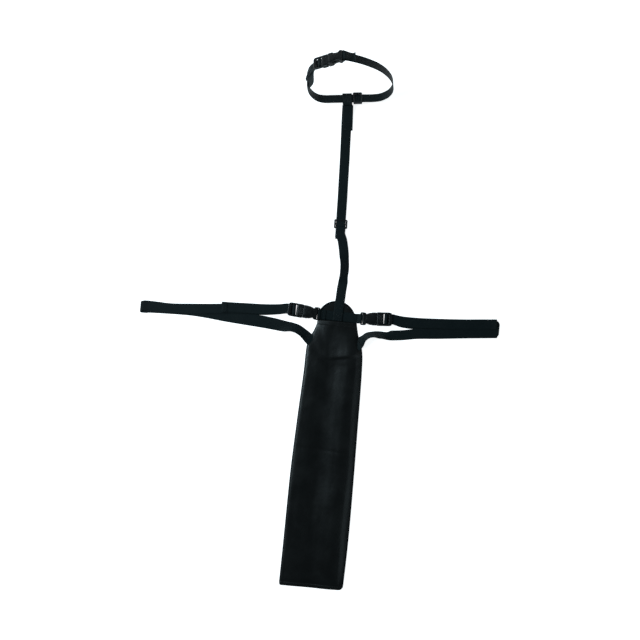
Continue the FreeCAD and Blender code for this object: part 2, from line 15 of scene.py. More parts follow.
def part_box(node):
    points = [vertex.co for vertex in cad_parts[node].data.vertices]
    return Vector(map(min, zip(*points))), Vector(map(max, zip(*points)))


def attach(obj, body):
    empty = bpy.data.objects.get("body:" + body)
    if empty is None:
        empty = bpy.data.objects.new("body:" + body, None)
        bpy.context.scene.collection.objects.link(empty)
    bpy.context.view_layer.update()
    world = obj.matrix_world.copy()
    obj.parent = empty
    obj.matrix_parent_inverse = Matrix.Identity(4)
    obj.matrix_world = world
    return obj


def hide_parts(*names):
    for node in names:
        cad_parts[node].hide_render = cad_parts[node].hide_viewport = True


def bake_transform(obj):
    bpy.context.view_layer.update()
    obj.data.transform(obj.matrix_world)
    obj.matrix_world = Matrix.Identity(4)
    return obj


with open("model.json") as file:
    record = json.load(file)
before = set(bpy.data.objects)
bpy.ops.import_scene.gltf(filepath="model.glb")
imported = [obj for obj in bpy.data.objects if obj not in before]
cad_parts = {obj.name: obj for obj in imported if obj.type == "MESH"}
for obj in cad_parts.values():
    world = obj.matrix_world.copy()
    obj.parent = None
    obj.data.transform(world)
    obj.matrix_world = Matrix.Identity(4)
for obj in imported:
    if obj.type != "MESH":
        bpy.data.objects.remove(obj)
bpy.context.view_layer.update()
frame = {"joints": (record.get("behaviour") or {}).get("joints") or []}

MM = 0.001
LOG = logging.getLogger("tail_sleeve_harness")

# The middle of the cross strap in the frame, found from the sleeve's rear panel
SLEEVE_TIP_HALF = 67.0
SLEEVE_LENGTH = 567.0
_LOW, _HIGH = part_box("sleeve_back")
ORIGIN = Vector((_LOW.x + SLEEVE_TIP_HALF * MM, _LOW.y + SLEEVE_LENGTH * MM, 0.0))

WEB_WIDTH = 20.0
WEB_THICK = 1.5
LIGHT_TINT = (0.72, 0.92, 1.0)


def at(x: float, y: float, z: float = 0.0) -> Vector:
    """A point of the layout, in millimetres from the middle of the cross strap, in the frame.

    Args:
        x: Distance to the right.
        y: Distance towards the collar.
        z: Height above the ground.

    Returns:
        The point in metres.
    """
    return ORIGIN + Vector((x, y, z)) * MM


class Slot(Enum):
    """The record's material slots that pieces take their finish from."""

    CLOTH = "sleeve_fabric"
    HEM = "hem_fabric"
    TAPE = "binding_tape"
    WEBBING = "webbing"
    THREAD = "thread"
    PLASTIC = "buckle_plastic"


class End(Enum):
    """How the end of a strap looks."""

    CUT = "cut square"
    ROUND = "rounded corners"


# ---------------------------------------------------------------- node groups


class NodeBuilder:
    """Adds and links nodes in one node tree."""

    def __init__(self, tree: bpy.types.NodeTree) -> None:
        """Keeps the tree to build in."""
        self.tree = tree

    def add(self, kind: str, values: dict | None = None, **settings: object) -> bpy.types.Node:
        """Adds a node.

        Args:
            kind: The node's type name.
            values: Input values or sockets to link, by input name or index.
            settings: Properties of the node.

        Returns:
            The new node.
        """
        node = self.tree.nodes.new(kind)
        for key, value in settings.items():
            setattr(node, key, value)
        for key, value in (values or {}).items():
            if isinstance(value, bpy.types.NodeSocket):
                self.tree.links.new(value, node.inputs[key])
            else:
                node.inputs[key].default_value = value
        return node

    def math(self, operation: str, a: object, b: object = 0.0, clamp: bool = False) -> bpy.types.NodeSocket:
        """Adds a Math node and returns its output."""
        node = self.add("ShaderNodeMath", {0: a, 1: b}, operation=operation, use_clamp=clamp)
        return node.outputs[0]

    def ramp(self, factor: bpy.types.NodeSocket, low: float, high: float) -> bpy.types.NodeSocket:
        """Maps a value so that low becomes 0 and high becomes 1, clamped, and returns the output."""
        values = {"Value": factor, "From Min": low, "From Max": high}
        return self.add("ShaderNodeMapRange", values, clamp=True).outputs["Result"]

    def mix(self, factor: object, a: object, b: object) -> bpy.types.NodeSocket:
        """Mixes two colours and returns the output."""
        node = self.add("ShaderNodeMix", data_type="RGBA")
        for index, value in ((0, factor), (6, a), (7, b)):
            if isinstance(value, bpy.types.NodeSocket):
                self.tree.links.new(value, node.inputs[index])
            else:
                node.inputs[index].default_value = value
        return node.outputs[2]


@dataclass(frozen=True)
class Port:
    """One input or output of a node group."""

    name: str
    kind: str
    value: float | None = None


def new_group(
    name: str, inputs: list[Port], outputs: list[Port]
) -> tuple[NodeBuilder, bpy.types.Node, bpy.types.Node]:
    """Makes an empty shader node group with named sockets.

    Args:
        name: The group's name.
        inputs: Its inputs.
        outputs: Its outputs.

    Returns:
        A builder for it, its input node and its output node.
    """
    tree = bpy.data.node_groups.new(name, "ShaderNodeTree")
    for port in inputs:
        socket = tree.interface.new_socket(port.name, in_out="INPUT", socket_type=port.kind)
        if port.value is not None:
            socket.default_value = port.value
    for port in outputs:
        tree.interface.new_socket(port.name, in_out="OUTPUT", socket_type=port.kind)
    build = NodeBuilder(tree)
    return build, build.add("NodeGroupInput"), build.add("NodeGroupOutput")


FLOAT = "NodeSocketFloat"
VECTOR = "NodeSocketVector"


class Effects:
    """The shared surface effects, each a node group built once."""

    def __init__(self) -> None:
        """Builds every group."""
        self.rib_weave = self._rib_weave()
        self.plain_weave = self._plain_weave()
        self.grain = self._grain()
        self.dust = self._dust()
        self.edge_wear = self._edge_wear()

    def _rib_weave(self) -> bpy.types.NodeTree:
        """Strap weave: staggered chevron floats of yarn in lengthwise ribs, laid out in UV metres.

        Returns:
            The group, with a Height output and a Shade output that falls to 0 in the weave's valleys, used
            for painted shade there.
        """
        inputs = [
            Port("Vector", VECTOR), Port("Rib", FLOAT, 0.0016), Port("Float", FLOAT, 0.0022),
            Port("Fray", FLOAT, 0.25)
        ]
        build, source, sink = new_group(
            "strap rib weave", inputs, [Port("Height", FLOAT), Port("Shade", FLOAT)]
        )
        parts = build.add("ShaderNodeSeparateXYZ", {0: source.outputs["Vector"]})
        across = build.math("DIVIDE", parts.outputs["Y"], source.outputs["Rib"])
        along = build.math("DIVIDE", parts.outputs["X"], source.outputs["Float"])
        fold = build.math("PINGPONG", across, 1.0)
        slant = build.math("ADD", along, build.math("MULTIPLY", fold, 0.55))
        rib = build.math("ABSOLUTE", build.math("SINE", build.math("MULTIPLY", across, math.pi)))
        floats = build.math("ABSOLUTE", build.math("SINE", build.math("MULTIPLY", slant, math.pi)))
        rib_round = build.math("POWER", rib, 0.5)
        float_round = build.math("POWER", floats, 0.6)
        body = build.math("MULTIPLY", rib_round, float_round)
        fine = build.add(
            "ShaderNodeTexNoise", {"Vector": source.outputs["Vector"], "Scale": 2600.0, "Detail": 2.0}
        )
        fray = build.math("MULTIPLY", fine.outputs["Fac"], source.outputs["Fray"])
        height = build.math("ADD", body, fray)
        build.tree.links.new(height, sink.inputs["Height"])
        build.tree.links.new(body, sink.inputs["Shade"])
        return build.tree

    def _plain_weave(self) -> bpy.types.NodeTree:
        """Plain over and under weave of fine yarn under a coating, laid out in object space.

        Returns:
            The group, with a Height output and a Shade output that is low where the weave lies low, used
            for painted shade there.
        """
        inputs = [Port("Vector", VECTOR), Port("Yarn", FLOAT, 0.0006), Port("Slub", FLOAT, 0.3)]
        build, source, sink = new_group(
            "cloth plain weave", inputs, [Port("Height", FLOAT), Port("Shade", FLOAT)]
        )
        parts = build.add("ShaderNodeSeparateXYZ", {0: source.outputs["Vector"]})
        warp = build.math(
            "MULTIPLY", build.math("DIVIDE", parts.outputs["X"], source.outputs["Yarn"]), math.pi
        )
        weft = build.math(
            "MULTIPLY", build.math("DIVIDE", parts.outputs["Y"], source.outputs["Yarn"]), math.pi
        )
        product = build.math("MULTIPLY", build.math("SINE", warp), build.math("SINE", weft))
        checks = build.math("MULTIPLY", build.math("ADD", product, 1.0), 0.5)
        slub = build.add(
            "ShaderNodeTexNoise", {"Vector": source.outputs["Vector"], "Scale": 420.0, "Detail": 3.0}
        )
        amount = build.math("MULTIPLY", slub.outputs["Fac"], source.outputs["Slub"])
        build.tree.links.new(build.math("ADD", checks, amount), sink.inputs["Height"])
        build.tree.links.new(checks, sink.inputs["Shade"])
        return build.tree

    def _grain(self) -> bpy.types.NodeTree:
        """Fine spark-eroded grain of a mould.

        Returns:
            The group, with a Height output.
        """
        inputs = [Port("Vector", VECTOR), Port("Scale", FLOAT, 1500.0)]
        build, source, sink = new_group("mould grain", inputs, [Port("Height", FLOAT)])
        values = {"Vector": source.outputs["Vector"], "Scale": source.outputs["Scale"], "Detail": 3.0}
        fine = build.add("ShaderNodeTexNoise", values)
        cells = build.add(
            "ShaderNodeTexVoronoi", {"Vector": source.outputs["Vector"], "Scale": source.outputs["Scale"]}
        )
        total = build.math(
            "ADD", fine.outputs["Fac"], build.math("MULTIPLY", cells.outputs["Distance"], 0.5)
        )
        build.tree.links.new(total, sink.inputs["Height"])
        return build.tree

    def _dust(self) -> bpy.types.NodeTree:
        """Faint lint and dust in soft patches with a few specks.

        Returns:
            The group, with a Mask output.
        """
        inputs = [Port("Vector", VECTOR), Port("Patch", FLOAT, 18.0), Port("Amount", FLOAT, 0.3)]
        build, source, sink = new_group("lint and dust", inputs, [Port("Mask", FLOAT)])
        patch = build.add(
            "ShaderNodeTexNoise",
            {"Vector": source.outputs["Vector"], "Scale": source.outputs["Patch"], "Detail": 5.0}
        )
        speck = build.add(
            "ShaderNodeTexNoise", {"Vector": source.outputs["Vector"], "Scale": 900.0, "Detail": 2.0}
        )
        soft = build.ramp(patch.outputs["Fac"], 0.42, 0.75)
        sharp = build.ramp(speck.outputs["Fac"], 0.62, 0.74)
        both = build.math("ADD", build.math("MULTIPLY", soft, 0.6), build.math("MULTIPLY", sharp, 0.5))
        mask = build.math("MULTIPLY", both, source.outputs["Amount"], clamp=True)
        build.tree.links.new(mask, sink.inputs["Mask"])
        return build.tree

    def _edge_wear(self) -> bpy.types.NodeTree:
        """Rubbed convex edges, broken up by noise.

        Returns:
            The group, with a Mask output.
        """
        inputs = [
            Port("Vector", VECTOR), Port("Start", FLOAT, 0.52), Port("Full", FLOAT, 0.62),
            Port("Amount", FLOAT, 0.5)
        ]
        build, source, sink = new_group("edge wear", inputs, [Port("Mask", FLOAT)])
        geometry = build.add("ShaderNodeNewGeometry")
        broken = build.add(
            "ShaderNodeTexNoise", {"Vector": source.outputs["Vector"], "Scale": 260.0, "Detail": 4.0}
        )
        values = {
            "Value": geometry.outputs["Pointiness"], "From Min": source.outputs["Start"],
            "From Max": source.outputs["Full"]
        }
        edge = build.add("ShaderNodeMapRange", values, clamp=True).outputs["Result"]
        worn = build.math("MULTIPLY", edge, build.ramp(broken.outputs["Fac"], 0.35, 0.65))
        mask = build.math("MULTIPLY", worn, source.outputs["Amount"], clamp=True)
        build.tree.links.new(mask, sink.inputs["Mask"])
        return build.tree


Colour = tuple[float, float, float]


def rgba(colour: Colour) -> tuple[float, float, float, float]:
    """An opaque colour for a socket."""
    return (*colour, 1.0)


@dataclass(frozen=True)
class Finish:
    """What every finish shares: its name, colours and shine."""

    name: str
    slot: Slot
    base: Colour
    worn: Colour
    roughness: float
    specular: float = 0.5
    sheen: float = 0.0
    sheen_roughness: float = 0.5
    dust: float = 0.12

    def shader(self) -> tuple[bpy.types.Material, NodeBuilder, bpy.types.Node]:
        """Makes the material with its shader and constant values.

        Returns:
            The material, a builder for it and its shader node.
        """
        material = bpy.data.materials.new(self.name)
        material.use_nodes = True
        build = NodeBuilder(material.node_tree)
        shader = material.node_tree.nodes["Principled BSDF"]
        shader.inputs["Specular IOR Level"].default_value = self.specular
        shader.inputs["Sheen Weight"].default_value = self.sheen
        shader.inputs["Sheen Roughness"].default_value = self.sheen_roughness
        return material, build, shader

    def group(self, build: NodeBuilder, tree: bpy.types.NodeTree, values: dict) -> bpy.types.Node:
        """Places a shared effect in the material with its own values."""
        return build.add("ShaderNodeGroup", values, node_tree=tree)

    def bump(self, build: NodeBuilder, shader: bpy.types.Node, layers: list[tuple[object, float]]) -> None:
        """Stacks bump layers and links them to the shader's normal.

        Args:
            build: The material's builder.
            shader: Its shader node.
            layers: Each layer's height socket and its depth in metres.
        """
        normal = None
        for height, depth in layers:
            values = {"Height": height, "Distance": depth, "Strength": 1.0}
            if normal is not None:
                values["Normal"] = normal
            normal = build.add("ShaderNodeBump", values).outputs["Normal"]
        build.tree.links.new(normal, shader.inputs["Normal"])


@dataclass(frozen=True)
class WebbingFinish(Finish):
    """Woven nylon webbing."""

    rib: float = 0.0018
    yarn: float = 0.0026
    relief: float = 0.00022

    def make(self, effects: Effects) -> bpy.types.Material:
        """Builds the material.

        Args:
            effects: The shared effects.

        Returns:
            The material.
        """
        material, build, shader = self.shader()
        uv = build.add("ShaderNodeTexCoord").outputs["UV"]
        place = build.add("ShaderNodeTexCoord").outputs["Object"]
        weave = self.group(build, effects.rib_weave, {"Vector": uv, "Rib": self.rib, "Float": self.yarn})
        dust = self.group(build, effects.dust, {"Vector": place, "Patch": 14.0, "Amount": self.dust})
        fade = build.add(
            "ShaderNodeTexNoise", {"Vector": place, "Scale": 9.0, "Detail": 3.0}
        ).outputs["Fac"]
        # Painted shade: yarn holds the webbing colour, which drops to 0.45 of its base in the weave's
        # valleys where shade falls between the yarns.
        valley_shade = tuple(0.45 * c for c in self.base)
        yarn = build.mix(weave.outputs["Shade"], rgba(valley_shade), rgba(self.base))
        faded = build.mix(build.math("MULTIPLY", build.ramp(fade, 0.35, 0.8), 0.5), yarn, rgba(self.worn))
        colour = build.mix(dust.outputs["Mask"], faded, rgba((0.035, 0.038, 0.038)))
        build.tree.links.new(colour, shader.inputs["Base Color"])
        rough = build.math(
            "SUBTRACT", self.roughness + 0.1, build.math("MULTIPLY", weave.outputs["Shade"], 0.14)
        )
        build.tree.links.new(rough, shader.inputs["Roughness"])
        self.bump(build, shader, [(weave.outputs["Height"], self.relief)])
        return material


@dataclass(frozen=True)
class ClothFinish(Finish):
    """Coated woven cloth with fine yarn and soft handling marks."""

    yarn: float = 0.0007
    relief: float = 0.00004

    def make(self, effects: Effects) -> bpy.types.Material:
        """Builds the material.

        Args:
            effects: The shared effects.

        Returns:
            The material.
        """
        material, build, shader = self.shader()
        place = build.add("ShaderNodeTexCoord").outputs["Object"]
        weave = self.group(build, effects.plain_weave, {"Vector": place, "Yarn": self.yarn})
        dust = self.group(build, effects.dust, {"Vector": place, "Patch": 11.0, "Amount": self.dust})
        wear = self.group(
            build, effects.edge_wear, {"Vector": place, "Start": 0.505, "Full": 0.55, "Amount": 0.6}
        )
        handled = build.add(
            "ShaderNodeTexNoise", {"Vector": place, "Scale": 22.0, "Detail": 6.0, "Roughness": 0.6}
        ).outputs["Fac"]
        crinkle = build.add(
            "ShaderNodeTexNoise", {"Vector": place, "Scale": 85.0, "Detail": 4.0, "Distortion": 0.6}
        ).outputs["Fac"]
        # Painted shade: yarn holds the cloth colour, which drops to 0.6 of its base where the weave lies
        # low, as shade in the weave.
        valley_shade = tuple(0.6 * c for c in self.base)
        yarn = build.mix(weave.outputs["Shade"], rgba(valley_shade), rgba(self.base))
        faded = build.mix(
            build.math("MULTIPLY", build.ramp(handled, 0.45, 0.8), 0.35), yarn, rgba(self.worn)
        )
        rubbed = build.mix(wear.outputs["Mask"], faded, rgba(self.worn))
        colour = build.mix(dust.outputs["Mask"], rubbed, rgba((0.02, 0.021, 0.021)))
        build.tree.links.new(colour, shader.inputs["Base Color"])
        spread = build.math("MULTIPLY", build.math("SUBTRACT", handled, 0.5), 0.3)
        rough = build.math("ADD", spread, self.roughness, clamp=True)
        build.tree.links.new(rough, shader.inputs["Roughness"])
        layers = [(handled, 0.0006), (crinkle, 0.00025), (weave.outputs["Height"], self.relief)]
        self.bump(build, shader, layers)
        return material


@dataclass(frozen=True)
class TapeFinish(Finish):
    """Narrow woven binding tape, and the thread of the stitching with a finer lay."""

    yarn: float = 0.0008
    relief: float = 0.00012

    def make(self, effects: Effects) -> bpy.types.Material:
        """Builds the material.

        Args:
            effects: The shared effects.

        Returns:
            The material.
        """
        material, build, shader = self.shader()
        uv = build.add("ShaderNodeTexCoord").outputs["UV"]
        place = build.add("ShaderNodeTexCoord").outputs["Object"]
        weave = self.group(
            build, effects.rib_weave, {"Vector": uv, "Rib": self.yarn, "Float": self.yarn * 1.5}
        )
        dust = self.group(build, effects.dust, {"Vector": place, "Patch": 20.0, "Amount": self.dust})
        # Painted shade: yarn holds the tape and thread colour, which drops to half its base in the weave's
        # valleys where shade falls.
        yarn = build.mix(weave.outputs["Shade"], rgba(tuple(0.5 * c for c in self.base)), rgba(self.base))
        colour = build.mix(dust.outputs["Mask"], yarn, rgba(self.worn))
        build.tree.links.new(colour, shader.inputs["Base Color"])
        rough = build.math(
            "SUBTRACT", self.roughness + 0.05, build.math("MULTIPLY", weave.outputs["Shade"], 0.1)
        )
        build.tree.links.new(rough, shader.inputs["Roughness"])
        self.bump(build, shader, [(weave.outputs["Height"], self.relief)])
        return material


@dataclass(frozen=True)
class PlasticFinish(Finish):
    """Moulded acetal with a fine grain and rubbed edges."""

    grain: float = 1400.0
    relief: float = 0.000025

    def make(self, effects: Effects) -> bpy.types.Material:
        """Builds the material.

        Args:
            effects: The shared effects.

        Returns:
            The material.
        """
        material, build, shader = self.shader()
        place = build.add("ShaderNodeTexCoord").outputs["Object"]
        grain = self.group(build, effects.grain, {"Vector": place, "Scale": self.grain})
        wear = self.group(
            build, effects.edge_wear, {"Vector": place, "Start": 0.51, "Full": 0.6, "Amount": 0.55}
        )
        dust = self.group(build, effects.dust, {"Vector": place, "Patch": 60.0, "Amount": self.dust})
        scuff = build.add(
            "ShaderNodeTexNoise", {"Vector": place, "Scale": 130.0, "Detail": 5.0, "Distortion": 1.2}
        ).outputs["Fac"]
        rubbed = build.mix(wear.outputs["Mask"], rgba(self.base), rgba(self.worn))
        colour = build.mix(dust.outputs["Mask"], rubbed, rgba((0.03, 0.03, 0.03)))
        build.tree.links.new(colour, shader.inputs["Base Color"])
        rough = build.math("ADD", build.math("MULTIPLY", build.ramp(scuff, 0.4, 0.7), 0.16), self.roughness)
        build.tree.links.new(rough, shader.inputs["Roughness"])
        self.bump(build, shader, [(scuff, 0.00003), (grain.outputs["Height"], self.relief)])
        return material


class Wardrobe:
    """Every finish of the harness, made once."""

    def __init__(self) -> None:
        """Builds the shared effects and the materials."""
        effects = Effects()
        finishes = [
            ClothFinish("coated sleeve cloth", Slot.CLOTH, (0.0026, 0.0029, 0.003), (0.008, 0.0085, 0.0085),
                        0.41, 0.28),
            ClothFinish("folded hem cloth", Slot.HEM, (0.0024, 0.0026, 0.0028), (0.008, 0.0085, 0.0085),
                        0.5, 0.25),
            TapeFinish("binding tape", Slot.TAPE, (0.004, 0.0044, 0.0046), (0.02, 0.021, 0.021), 0.68,
                       0.08),
            WebbingFinish("nylon webbing", Slot.WEBBING, (0.0042, 0.0092, 0.0108), (0.006, 0.0115, 0.013),
                          0.6, 0.12),
            TapeFinish("bonded thread", Slot.THREAD, (0.011, 0.0125, 0.013), (0.02, 0.02, 0.02), 0.45, 0.3,
                       dust=0.1, yarn=0.0004, relief=0.00005),
            PlasticFinish("moulded acetal", Slot.PLASTIC, (0.003, 0.0034, 0.0038), (0.03, 0.032, 0.033),
                          0.3, 0.34, dust=0.05),
        ]
        self.materials = {finish.slot: finish.make(effects) for finish in finishes}

    def dress(self, piece: bpy.types.Object, slot: Slot) -> bpy.types.Object:
        """Gives a piece the material of its slot."""
        piece.data.materials.clear()
        piece.data.materials.append(self.materials[slot])
        return piece


# ---------------------------------------------------------------- mesh building


def new_piece(name: str, data: bpy.types.ID) -> bpy.types.Object:
    """Puts mesh data in the scene under a name."""
    data.name = name
    piece = bpy.data.objects.new(name, data)
    bpy.context.scene.collection.objects.link(piece)
    return piece


def smooth_faces(mesh: bpy.types.Mesh, sharp_degrees: float = 40.0) -> None:
    """Shades a mesh smooth but for edges sharper than an angle."""
    mesh.shade_smooth()
    mesh.set_sharp_from_angle(angle=math.radians(sharp_degrees))


def spline_points(points: list[Vector], step: float) -> list[Vector]:
    """A smooth line through a list of points.

    Args:
        points: The points, in order.
        step: The spacing of the samples.

    Returns:
        Samples of a centripetal Catmull-Rom line through the points.
    """
    first = points[0] * 2 - points[1]
    last = points[-1] * 2 - points[-2]
    knots = [first, *points, last]
    line = []
    for i in range(1, len(knots) - 2):
        p0, p1, p2, p3 = knots[i - 1 : i + 3]
        t0 = 0.0
        t1 = t0 + math.sqrt((p1 - p0).length)
        t2 = t1 + math.sqrt((p2 - p1).length)
        t3 = t2 + math.sqrt((p3 - p2).length)
        count = max(1, round((p2 - p1).length / step))
        for k in range(count):
            t = t1 + (t2 - t1) * k / count
            a1 = p0 * ((t1 - t) / (t1 - t0)) + p1 * ((t - t0) / (t1 - t0))
            a2 = p1 * ((t2 - t) / (t2 - t1)) + p2 * ((t - t1) / (t2 - t1))
            a3 = p2 * ((t3 - t) / (t3 - t2)) + p3 * ((t - t2) / (t3 - t2))
            b1 = a1 * ((t2 - t) / (t2 - t0)) + a2 * ((t - t0) / (t2 - t0))
            b2 = a2 * ((t3 - t) / (t3 - t1)) + a3 * ((t - t1) / (t3 - t1))
            line.append(b1 * ((t2 - t) / (t2 - t1)) + b2 * ((t - t1) / (t2 - t1)))
    line.append(points[-1].copy())
    return line


@dataclass
class Line:
    """A sampled line with a side direction at each sample, for things that follow it."""

    points: list[Vector]
    side: Vector
    twists: list[tuple[float, float]] = field(default_factory=list)

    def __post_init__(self) -> None:
        """Works out lengths, directions and the carried side direction."""
        self.lengths = [0.0]
        for a, b in zip(self.points, self.points[1:]):
            self.lengths.append(self.lengths[-1] + (b - a).length)
        last = len(self.points) - 1
        self.tangents = [
            (self.points[min(i + 1, last)] - self.points[max(i - 1,
                                                             0)]).normalized() for i in range(last + 1)
        ]
        side = (self.side - self.tangents[0] * self.side.dot(self.tangents[0])).normalized()
        self.sides = [side]
        for before, after in zip(self.tangents, self.tangents[1:]):
            side = before.rotation_difference(after) @ side
            side = (side - after * side.dot(after)).normalized()
            self.sides.append(side)
        for i, length in enumerate(self.lengths):
            turn = math.radians(self._twist(length))
            self.sides[i] = Quaternion(self.tangents[i], turn) @ self.sides[i]

    def _twist(self, length: float) -> float:
        """The added twist in degrees at a length along the line, smooth between its marks."""
        if not self.twists:
            return 0.0
        marks = [m for m, _ in self.twists]
        i = bisect.bisect_right(marks, length)
        if i == 0:
            return self.twists[0][1]
        if i == len(marks):
            return self.twists[-1][1]
        (m0, d0), (m1, d1) = self.twists[i - 1], self.twists[i]
        t = (length - m0) / (m1 - m0)
        return d0 + (d1 - d0) * t * t * (3 - 2 * t)

    @property
    def total(self) -> float:
        """The line's length."""
        return self.lengths[-1]

    def frame_at(self, length: float) -> tuple[Vector, Vector, Vector]:
        """The point, side and normal at a length along the line."""
        length = min(max(length, 0.0), self.total)
        i = min(bisect.bisect_right(self.lengths, length), len(self.points) - 1)
        t = (length - self.lengths[i - 1]) / max(self.lengths[i] - self.lengths[i - 1], 1e-9)
        point = self.points[i - 1].lerp(self.points[i], t)
        side = self.sides[i - 1].lerp(self.sides[i], t).normalized()
        normal = self.tangents[i - 1].lerp(self.tangents[i], t).cross(side).normalized()
        return point, side, normal


@dataclass
class Strap:
    """A length of flat webbing or tape that follows a line."""

    name: str
    line: Line
    width: float = WEB_WIDTH
    thickness: float = WEB_THICK
    crown: float = 0.12
    start: End = End.CUT
    end: End = End.CUT
    across: int = 10
    waver: float = 0.15
    seed: int = 1
    widths: list[tuple[float, float]] = field(default_factory=list)

    def _section(self) -> list[tuple[float, float]]:
        """The outline of a cross-section, across from -1 to 1 and up from -1 to 1.

        Returns:
            Points round the section, the upper face first.
        """
        edge = min(0.9, 1 - self.thickness / self.width)
        inner = [edge * (2 * k / (self.across - 2) - 1) for k in range(self.across - 1)]
        row = [
            (-1.0, 0.3), (-(1 + edge) / 2, 0.85)
        ] + [(v, 1.0) for v in inner] + [((1 + edge) / 2, 0.85), (1.0, 0.3)]
        return row + [(v, -h) for v, h in reversed(row)]

    def _width_at(self, length: float) -> float:
        """The width at a length, with rounded corners at rounded ends, in metres."""
        width = self.width * MM
        if self.widths:
            marks = [m for m, _ in self.widths]
            i = bisect.bisect_right(marks, length)
            if i == 0:
                width = self.widths[0][1] * MM
            elif i == len(marks):
                width = self.widths[-1][1] * MM
            else:
                (m0, w0), (m1, w1) = self.widths[i - 1], self.widths[i]
                width = (w0 + (w1 - w0) * (length - m0) / (m1 - m0)) * MM
        corner = 2.5 * MM
        for kind, distance in ((self.start, length), (self.end, self.line.total - length)):
            if kind is End.ROUND and distance < corner:
                inset = corner - math.sqrt(max(corner**2 - (corner - distance) ** 2, 0.0))
                width -= 2 * inset
        return width

    def build(self) -> bpy.types.Object:
        """Makes the strap's mesh with UVs in metres along and across it.

        Returns:
            The strap.
        """
        section = self._section()
        rings = []
        mesh = bmesh.new()
        layer = mesh.loops.layers.uv.new("UVMap")
        half_h = self.thickness * MM / 2
        places = {}
        lengths = self.line.lengths
        for index, length in enumerate(lengths):
            point, side = self.line.points[index], self.line.sides[index]
            normal = self.line.tangents[index].cross(side).normalized()
            half_w = self._width_at(length) / 2
            wobble = noise.noise(Vector((length * 22, self.seed * 3.7, 0))) * self.waver * MM
            ring = []
            for v, h in section:
                crown = self.crown * MM * (1 - v * v)
                ripple = noise.noise(Vector((length * 60, v * 0.8, self.seed * 1.3))) * 0.08 * MM
                place = point + side * (v * half_w + wobble) + normal * (h * half_h + crown + ripple)
                vertex = mesh.verts.new(place)
                lift = 0.0 if h > 0 else 4 * half_h
                places[vertex] = (length, (v + (0 if h > 0 else 0)) * half_w + lift * 0)
                ring.append(vertex)
            rings.append(ring)
        count = len(section)
        for a, b in zip(rings, rings[1:]):
            for k in range(count):
                mesh.faces.new((a[k], a[(k + 1) % count], b[(k + 1) % count], b[k]))
        mesh.faces.new(rings[0][::-1])
        mesh.faces.new(rings[-1])
        for face in mesh.faces:
            for loop in face.loops:
                loop[layer].uv = places[loop.vert]
        bmesh.ops.recalc_face_normals(mesh, faces=mesh.faces)
        data = bpy.data.meshes.new(self.name)
        mesh.to_mesh(data)
        mesh.free()
        smooth_faces(data, 60.0)
        return new_piece(self.name, data)


@dataclass
class Slab:
    """A flat moulded shape: an outline with holes, thickened and with rounded edges."""

    outline: list[tuple[float, float]]
    height: float
    middle: float = 0.0
    round_edge: float = 0.8
    corner: float = 1.2
    holes: list[list[tuple[float, float]]] = field(default_factory=list)
    hole_corner: float = 0.8

    def _rounded(self, points: list[tuple[float, float]], radius: float) -> list[tuple[float, float]]:
        """The outline with each corner replaced by an arc.

        Args:
            points: The outline's corners.
            radius: The corner radius, limited by the sides beside each corner.

        Returns:
            The points of the rounded outline.
        """
        ring = []
        count = len(points)
        for i, corner in enumerate(points):
            here = Vector(corner)
            before = Vector(points[i - 1]) - here
            after = Vector(points[(i + 1) % count]) - here
            reach = min(radius, 0.45 * before.length, 0.45 * after.length)
            start = here + before.normalized() * reach
            end = here + after.normalized() * reach
            for k in range(6):
                t = k / 5
                ring.append(tuple(start * (1 - t) ** 2 + here * (2 * t * (1 - t)) + end * t**2))
        return ring

    def mesh(self) -> bpy.types.Mesh:
        """Makes the slab's mesh in millimetres, lying in its own plane.

        Returns:
            The mesh.
        """
        curve = bpy.data.curves.new("slab", "CURVE")
        curve.dimensions = "2D"
        curve.fill_mode = "BOTH"
        bevel = min(self.round_edge, self.height / 2 - 0.01)
        curve.extrude = self.height / 2 - bevel
        curve.bevel_depth = bevel
        curve.bevel_resolution = 3
        curve.offset = -bevel
        rings = [self._rounded(self.outline, self.corner)]
        rings += [self._rounded(hole, self.hole_corner) for hole in self.holes]
        for ring in rings:
            spline = curve.splines.new("POLY")
            spline.points.add(len(ring) - 1)
            for point, (x, y) in zip(spline.points, ring):
                point.co = (x, y, 0, 1)
            spline.use_cyclic_u = True
        holder = bpy.data.objects.new("slab", curve)
        mesh = bpy.data.meshes.new_from_object(holder)
        mesh.transform(Matrix.Translation((0, 0, self.middle)))
        bpy.data.objects.remove(holder)
        bpy.data.curves.remove(curve)
        return mesh


def joined(
    name: str, meshes: list[bpy.types.Mesh], place: Matrix, sharp_degrees: float = 35.0
) -> bpy.types.Object:
    """Joins meshes made in millimetres into one piece in the frame.

    Args:
        name: The piece's name.
        meshes: The meshes, which are used up.
        place: Where the millimetre shapes go, in metres.
        sharp_degrees: Edges sharper than this stay sharp.

    Returns:
        The piece.
    """
    whole = bmesh.new()
    for mesh in meshes:
        whole.from_mesh(mesh)
        bpy.data.meshes.remove(mesh)
    bmesh.ops.remove_doubles(whole, verts=whole.verts, dist=0.001)
    whole.transform(place @ Matrix.Scale(MM, 4))
    bmesh.ops.recalc_face_normals(whole, faces=whole.faces)
    data = bpy.data.meshes.new(name)
    whole.to_mesh(data)
    whole.free()
    smooth_faces(data, sharp_degrees)
    return new_piece(name, data)


def rectangle(x0: float, x1: float, y0: float, y1: float) -> list[tuple[float, float]]:
    """The corners of a rectangle."""
    return [(x0, y0), (x1, y0), (x1, y1), (x0, y1)]


